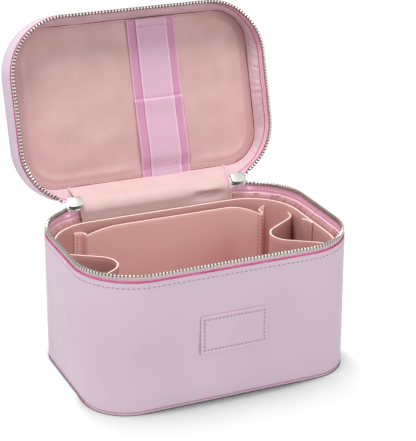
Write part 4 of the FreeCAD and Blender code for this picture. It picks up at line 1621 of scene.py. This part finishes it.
def hinge_lining():
    """Hemmed cloth from the lid's lining seam over the hinge and down behind the insert."""
    inside = HINGE_LINING_CLEAR + HINGE_LINING / 2
    back = HALF_Y - WALL - inside
    rim = swung(back, LID_RIM)
    seam = swung(HALF_Y - LID_SEAM_BACK, LID_PANEL - inside)
    slope = (seam.z - rim.z) / (seam.y - rim.y)
    corner = Vector((0, back, rim.z + slope * (back - rim.y)))
    low = Vector((0, back, BODY_TOP - HINGE_LINING_DROP))
    run = (seam - corner).normalized()
    up_out = Vector((0, -run.z, run.y))
    off = -up_out if up_out.z < 0 else up_out
    shares = [step / HINGE_CLOTH_LENGTHS for step in range(1, HINGE_CLOTH_LENGTHS)]

    def cloth_strip(name, start_x, width, proud, columns):
        place = Vector((start_x, 0, 0))
        forward = Vector((0, -proud, 0))
        bend = corner + forward + Vector((0, 0, proud))
        points = [low + place + forward, bend + place, seam + off * proud + place]
        strip = bent_strip(name, points, [HINGE_LINING_RADIUS], Vector((width, 0, 0)), columns)
        cut_lengths(strip, ((low, corner), (corner, seam)), shares)
        return strip

    strips = [cloth_strip("hinge_cloth", -HINGE_HALF, 2 * HINGE_HALF, 0, HINGE_CLOTH_COLUMNS)]
    hems = (("hinge_left_hem", -HINGE_HALF), ("hinge_right_hem", HINGE_HALF - HINGE_LINING_HEM))
    for name, start_x in hems:
        strips.append(cloth_strip(name, start_x, HINGE_LINING_HEM, HINGE_LINING, HINGE_HEM_COLUMNS))
    obj = join(strips)

    def slacken(point):
        along = (point - corner).dot(run)
        to_left = ramp(-point.x, HINGE_HALF / 2, HINGE_HALF)
        flare = HINGE_LINING_FLARE * ramp(point.z, low.z, corner.z) * to_left
        to_right = ramp(point.x, 0, HINGE_HALF)
        widening = HINGE_LINING_SPREAD * ramp(along, 0, (seam - corner).length) * to_right
        beside = bump_at(point.x - HINGE_LINING_DENT_X, HINGE_LINING_DENT_WIDTH)
        dent = HINGE_LINING_DENT * beside * bump_at(point.z - HINGE_LINING_DENT_Z, HINGE_LINING_DENT_HEIGHT)
        fold = HINGE_LINING_FOLD * beside * bump_at(point.z - HINGE_LINING_FOLD_Z, HINGE_LINING_FOLD_HEIGHT)
        spot = (point.x / HINGE_LINING_SAG_WIDTH, HINGE_LINING_SAG_LAYER, point.z / HINGE_LINING_SAG_HEIGHT)
        loose = max(0, noise.noise(Vector(spot)))
        sag = HINGE_LINING_SAG * loose * bump_at(along, HINGE_LINING_SAG_REACH)
        return Vector((widening - flare, dent - fold, -sag - fold / 2))

    push(obj, slacken)
    thicken(obj, HINGE_LINING / 2)
    wear(obj, FINISH["hinge_cloth"])
    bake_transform(obj)
    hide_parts("hinge_lining")


# Sliders and pulls

def sliders():
    """Zip sliders with bright polished plates and rougher sides painted dark as shade, and their pulls."""
    half_open = Matrix.Rotation(OPEN_ANGLE / 2, 4, Vector(hinge_joint["axis"]))
    inwards = half_open @ Vector((0, -1, 0))
    for side in ("left", "right"):
        slider = softened_copy("slider_%s_casting" % side, "slider_" + side, SLIDER_ROUND)
        # Faces that don't face in or out take the dark metal: painted shade
        paint(slider, 1, lambda p, n: abs(n.dot(inwards)) < SLIDER_SHADE_BELOW)
        finishes = [FINISH["bright_metal"], FINISH["slider_side"]]
        hand_over(slider, finishes, "slider_" + side, "zip_metal", "slider_" + side)
        pull = softened_copy("pull_%s_tab" % side, "pull_" + side, PULL_ROUND)
        hand_over(pull, FINISH["bright_metal"], "pull_" + side, "zip_metal", "pull_" + side)


# Insert

def hand_over_insert(obj, node, face="insert"):
    """An insert piece, with the cream of its cut edge along its top."""
    paint(obj, 1, lambda p, n: n.z > CUT_EDGE_ABOVE)
    hand_over(obj, [FINISH[face], FINISH["raw_edge"]], "insert", "insert_sheet", node)


def insert_wall():
    """Loose wall round the insert, its two ends lapped and sewn on the right."""
    inset = INSERT_INSET + INSERT_SHEET / 2
    obj = plan_wall("insert_wall_sheet", inset, heights_between(INSERT_LOW, INSERT_TOP, INSERT_ROWS))
    cut_sheet(obj, INSERT_SHEET)
    x = HALF_X - INSERT_INSET - INSERT_SHEET - INSERT_SHEET / 2
    start = Vector((x, INSERT_LAP_END_Y - INSERT_LAP, INSERT_FLOOR_TOP))
    end = Vector((x, INSERT_LAP_END_Y, INSERT_FLOOR_TOP))
    tall = INSERT_TOP - INSERT_FLOOR_TOP
    lap = bent_strip("insert_lap", [start, end], [], Vector((0, 0, tall)), INSERT_ROWS)
    cut_lengths(lap, ((start, end),), INSERT_LAP_CUTS)

    def lift(point):
        free = ramp(point.y, INSERT_LAP_END_Y - INSERT_LAP / 2, INSERT_LAP_END_Y)
        high = (point.z - INSERT_FLOOR_TOP) / tall
        return Vector((-INSERT_LAP_LIFT * free * high ** 3, 0, 0))

    push(lap, lift)
    cut_sheet(lap, INSERT_SHEET)
    obj = join([obj, lap])
    hand_over_insert(obj, "insert_wall")
    top = Vector((x - INSERT_SHEET / 2, INSERT_STITCH_Y, INSERT_TOP - INSERT_STITCH_DROP))
    foot = top - Vector((0, 0, INSERT_STITCH_RUN))
    row = stitch_line("insert_lap_stitches", top, foot, Vector((-1, 0, 0)))
    sew([row], "insert_", "insert", "insert_sheet")


def insert_floor():
    inset = INSERT_INSET + INSERT_SHEET
    obj = raise_plate(plan_plate("insert_floor_sheet", inset, INSERT_LOW), INSERT_FLOOR_TOP - INSERT_LOW)
    hand_over(obj, FINISH["insert"], "insert", "insert_sheet", "insert_floor")


def back_pocket():
    """Panel in front of the back wall, folded at both ends and sewn to the wall by flanges.

    Its right end turns with the corner of the case, and its top edge falls away towards both folds.
    """
    def seat(x):
        return (x, back_wall_y(x, POCKET_INSET))

    panel = back_wall_y(0, POCKET_INSET) - BACK_POCKET_GAP
    left = -BACK_POCKET_LEFT
    right = BACK_POCKET_RIGHT
    end_y = back_wall_y(right, POCKET_INSET) - BACK_POCKET_GAP - BACK_POCKET_RIGHT_OVERHANG
    end = (right + BACK_POCKET_RIGHT_OVERHANG, end_y)
    turn = (CORNER_X, panel)
    line = [seat(left - BACK_POCKET_LEFT_FLANGE), seat(left), (left, panel), turn, end, seat(right),
            seat(right + BACK_POCKET_RIGHT_FLANGE)]
    points = [Vector((x, y, INSERT_FLOOR_TOP)) for x, y in line]
    folds = [BACK_POCKET_FOLD] * 2
    rise = Vector((0, 0, POCKET_TOP - INSERT_FLOOR_TOP))
    bends = folds + [BACK_POCKET_TURN_BEND] + folds
    obj = bent_strip("back_pocket_sheet", points, bends, rise, BACK_POCKET_ROWS)
    cut_across(obj, 0, end[0], BACK_POCKET_STEP)

    def fall(past, drop):
        radius = (BACK_POCKET_CURVE ** 2 + drop ** 2) / (2 * drop)
        return radius - math.sqrt(radius ** 2 - min(BACK_POCKET_CURVE, max(0, past)) ** 2)

    def droop(point):
        down = fall(left + BACK_POCKET_CURVE - point.x, BACK_POCKET_LEFT_DROP)
        down += fall(point.x - right + BACK_POCKET_CURVE, BACK_POCKET_RIGHT_DROP)
        to_left = ramp(left - point.x, 0, BACK_POCKET_LEFT_FLANGE)
        up = BACK_POCKET_LEFT_RISE * ramp(point.y, panel, panel + BACK_POCKET_GAP) * to_left
        to_right = ramp(point.x, right - BACK_POCKET_RIGHT_RISE_LEAD, line[-1][0])
        up += BACK_POCKET_RIGHT_RISE * ramp(point.y - end_y, 0, BACK_POCKET_GAP / 2) * to_right
        share = (point.z - INSERT_FLOOR_TOP) / rise.z
        return Vector((0, 0, (up - down) * share))

    push(obj, droop)
    cut_sheet(obj, POCKET_SHEET)
    # The back pocket takes the lighter pocket finish: painted light
    hand_over_insert(obj, "back_pocket", "pocket")
    flange = Vector(line[0]).lerp(Vector(line[1]), BACK_POCKET_FLANGE_STITCH_SHARE).to_3d()
    panel_end = Vector(end).to_3d()
    panel_run = (Vector(turn).to_3d() - panel_end).normalized()
    panel_front = Vector((-panel_run.y, panel_run.x, 0))
    places = [(flange, -outward(flange), BACK_POCKET_FLANGE_STITCH_DROP)]
    for inset, drop in BACK_POCKET_PANEL_STITCHES:
        places.append((panel_end + panel_run * inset, panel_front, drop))
    run = Vector((0, 0, BACK_POCKET_STITCH_RUN))
    rows = []
    for place, inwards, drop in places:
        start = place + inwards * (POCKET_SHEET / 2 + STITCH_HEIGHT) + Vector((0, 0, POCKET_TOP - drop))
        rows.append(stitch_line("back_pocket_stitches", start, start - run, inwards))
    sew(rows, "pocket_", "insert", "insert_sheet")


def side_pocket(name, hand):
    """Looped strip on a side wall: sewn flanges, folds away from the wall, and a blunt nose."""
    def seat(y):
        return (side_wall_x(y, POCKET_INSET), y)

    tip = HALF_X - INSERT_INSET - INSERT_SHEET - SIDE_POCKET_DEPTH
    root = SIDE_POCKET_ROOT / 2
    nose = SIDE_POCKET_NOSE / 2
    centre = SIDE_POCKET_Y
    line = [seat(centre + root + SIDE_POCKET_FLANGE), seat(centre + root), (tip, centre + nose),
            (tip, centre - nose), seat(centre - root), seat(centre - root - SIDE_POCKET_FLANGE)]
    points = [Vector((hand * x, y, INSERT_FLOOR_TOP)) for x, y in line]
    bends = [SIDE_POCKET_FOLD, SIDE_POCKET_BEND, SIDE_POCKET_BEND, SIDE_POCKET_FOLD]
    rise = Vector((0, 0, SIDE_POCKET_TOP - INSERT_FLOOR_TOP))
    obj = bent_strip(name + "_sheet", points, bends, rise, INSERT_ROWS)
    cut_sheet(obj, POCKET_SHEET)
    hand_over_insert(obj, name)


def hidden_nodes():
    """Boards and foam inside the walls; the body's boards draw in with its leather."""
    for name in ("base_board", "body_wall_board"):
        board = softened_copy(name + "_core", name, BOARD_ROUND)
        push(board, taper)
        hand_over(board, FINISH["board"], "case", "board", name)
    for name in ("lid_top_board", "lid_wall_board"):
        wear_node(name, FINISH["board"])
    wear_node("lid_foam", FINISH["foam"])


def wear_node(name, finish):
    node = frame["nodes"][name]
    node.data.materials.clear()
    node.data.materials.append(finish)


# Studio

def floor():
    """Pale floor that keeps the case's shadow, long in front; away from the case it glows up to white."""
    clear_selection()
    bpy.ops.mesh.primitive_plane_add(size=FLOOR_SIZE)
    obj = settle("floor")
    finish = bpy.data.materials.new("floor_white")
    finish.use_nodes = True
    finish.node_tree.nodes.clear()
    seen = seen_rays(finish)
    tone = carried(finish, seen, 0.0, 1.0, FLOOR_TONE, FLOOR_SEEN_TONE)
    diffuse = add_node(finish, "ShaderNodeBsdfDiffuse", {"Color": tone})
    place = add_node(finish, "ShaderNodeSeparateXYZ", {0: surface_place(finish)})
    from_front = carried(finish, place.outputs["Y"], SHADOW_FRONT_Y, SHADOW_SIDE_Y,
                         SHADOW_REACH, SHADOW_SIDE_REACH)
    aside = combined(finish, "ABSOLUTE", place.outputs["X"], 0.0)
    from_side = carried(finish, aside, SHADOW_END_X, SHADOW_PAST_X, 1.0, SHADOW_PAST_SHARE)
    reach = combined(finish, "MULTIPLY", from_front, from_side)
    open_sky = add_node(finish, "ShaderNodeAmbientOcclusion", {"Distance": reach}, samples=SHADOW_SAMPLES)
    share = carried(finish, open_sky.outputs["AO"], SHADOW_FULL, 1.0)
    glow = combined(finish, "MULTIPLY", combined(finish, "POWER", share, SHADOW_FALL), FLOOR_GLOW)
    strength = combined(finish, "MULTIPLY", glow, seen)
    shine = add_node(finish, "ShaderNodeEmission", {"Color": WHITE, "Strength": strength})
    both = add_node(finish, "ShaderNodeAddShader", {0: diffuse.outputs[0], 1: shine.outputs[0]})
    add_node(finish, "ShaderNodeOutputMaterial", {"Surface": both.outputs[0]})
    obj.data.materials.append(finish)


def surround():
    """Even light from all round, which looks white."""
    world = bpy.data.worlds.new("surround")
    bpy.context.scene.world = world
    world.use_nodes = True
    world.node_tree.nodes.clear()
    strength = carried(world, seen_rays(world), 0.0, 1.0, SURROUND_LIGHT, 1.0)
    light = add_node(world, "ShaderNodeBackground", {"Color": WHITE, "Strength": strength})
    add_node(world, "ShaderNodeOutputWorld", {"Surface": light.outputs[0]})


def seen_rays(finish):
    """1 for what the camera sees, directly, in gloss or through glass."""
    path = add_node(finish, "ShaderNodeLightPath")
    gloss = combined(finish, "MAXIMUM", path.outputs["Is Camera Ray"], path.outputs["Is Glossy Ray"])
    return combined(finish, "MAXIMUM", gloss, path.outputs["Is Transmission Ray"])


def soft_lamp(name, place, size, power):
    """A round lamp that faces the case."""
    data = bpy.data.lights.new(name, "AREA")
    data.shape = "DISK"
    data.size = size
    data.energy = power
    lamp = bpy.data.objects.new(name, data)
    lamp.location = place
    lamp.rotation_euler = (VIEW_TARGET - Vector(place)).to_track_quat("-Z", "Y").to_euler()
    link(lamp)


def studio():
    floor()
    surround()
    soft_lamp("overhead", place=(-0.3, -0.1, 1.45), size=0.5, power=15.5)
    soft_lamp("left", place=(-1.4, 0.15, 0.45), size=0.9, power=3.7)
    soft_lamp("front", place=(0.8, -1.42, 0.85), size=1.0, power=8.0)


def camera():
    flat = math.cos(VIEW_ELEVATION)
    back = Vector((math.sin(VIEW_AZIMUTH) * flat, -math.cos(VIEW_AZIMUTH) * flat, math.sin(VIEW_ELEVATION)))
    right = Vector((math.cos(VIEW_AZIMUTH), math.sin(VIEW_AZIMUTH), 0))
    up = back.cross(right)
    turned_right = right * math.cos(VIEW_ROLL) + up * math.sin(VIEW_ROLL)
    turned_up = up * math.cos(VIEW_ROLL) - right * math.sin(VIEW_ROLL)
    data = bpy.data.cameras.new("photo_camera")
    data.sensor_width = SENSOR
    data.lens = FOCAL_PIXELS / PHOTO_LONG_SIDE * SENSOR
    obj = bpy.data.objects.new("photo_camera", data)
    turn = Matrix((turned_right, turned_up, back)).transposed().to_4x4()
    obj.matrix_world = Matrix.Translation(VIEW_TARGET + back * VIEW_DISTANCE) @ turn
    link(obj)
    bpy.context.scene.camera = obj


def build():
    body_leather()
    base_leather()
    rim_stitches()
    body_lining()
    front_patch()
    zip_side(-1, "case")
    zip_side(1, "lid")
    lid_leather()
    lid_panel()
    lid_band()
    elastic_band("elastic_wide_band", "elastic_wide", (220, 162, 194), (206, 146, 180), (228, 184, 208))
    elastic_band("elastic_narrow_band", "elastic_narrow", (226, 190, 210), (216, 178, 200), (236, 206, 222))
    handle()
    hinge_strip()
    hinge_lining()
    sliders()
    insert_wall()
    insert_floor()
    back_pocket()
    side_pocket("right_pocket", 1)
    side_pocket("left_pocket", -1)
    hidden_nodes()


build()
studio()
camera()
bpy.context.scene.view_settings.view_transform = "Standard"
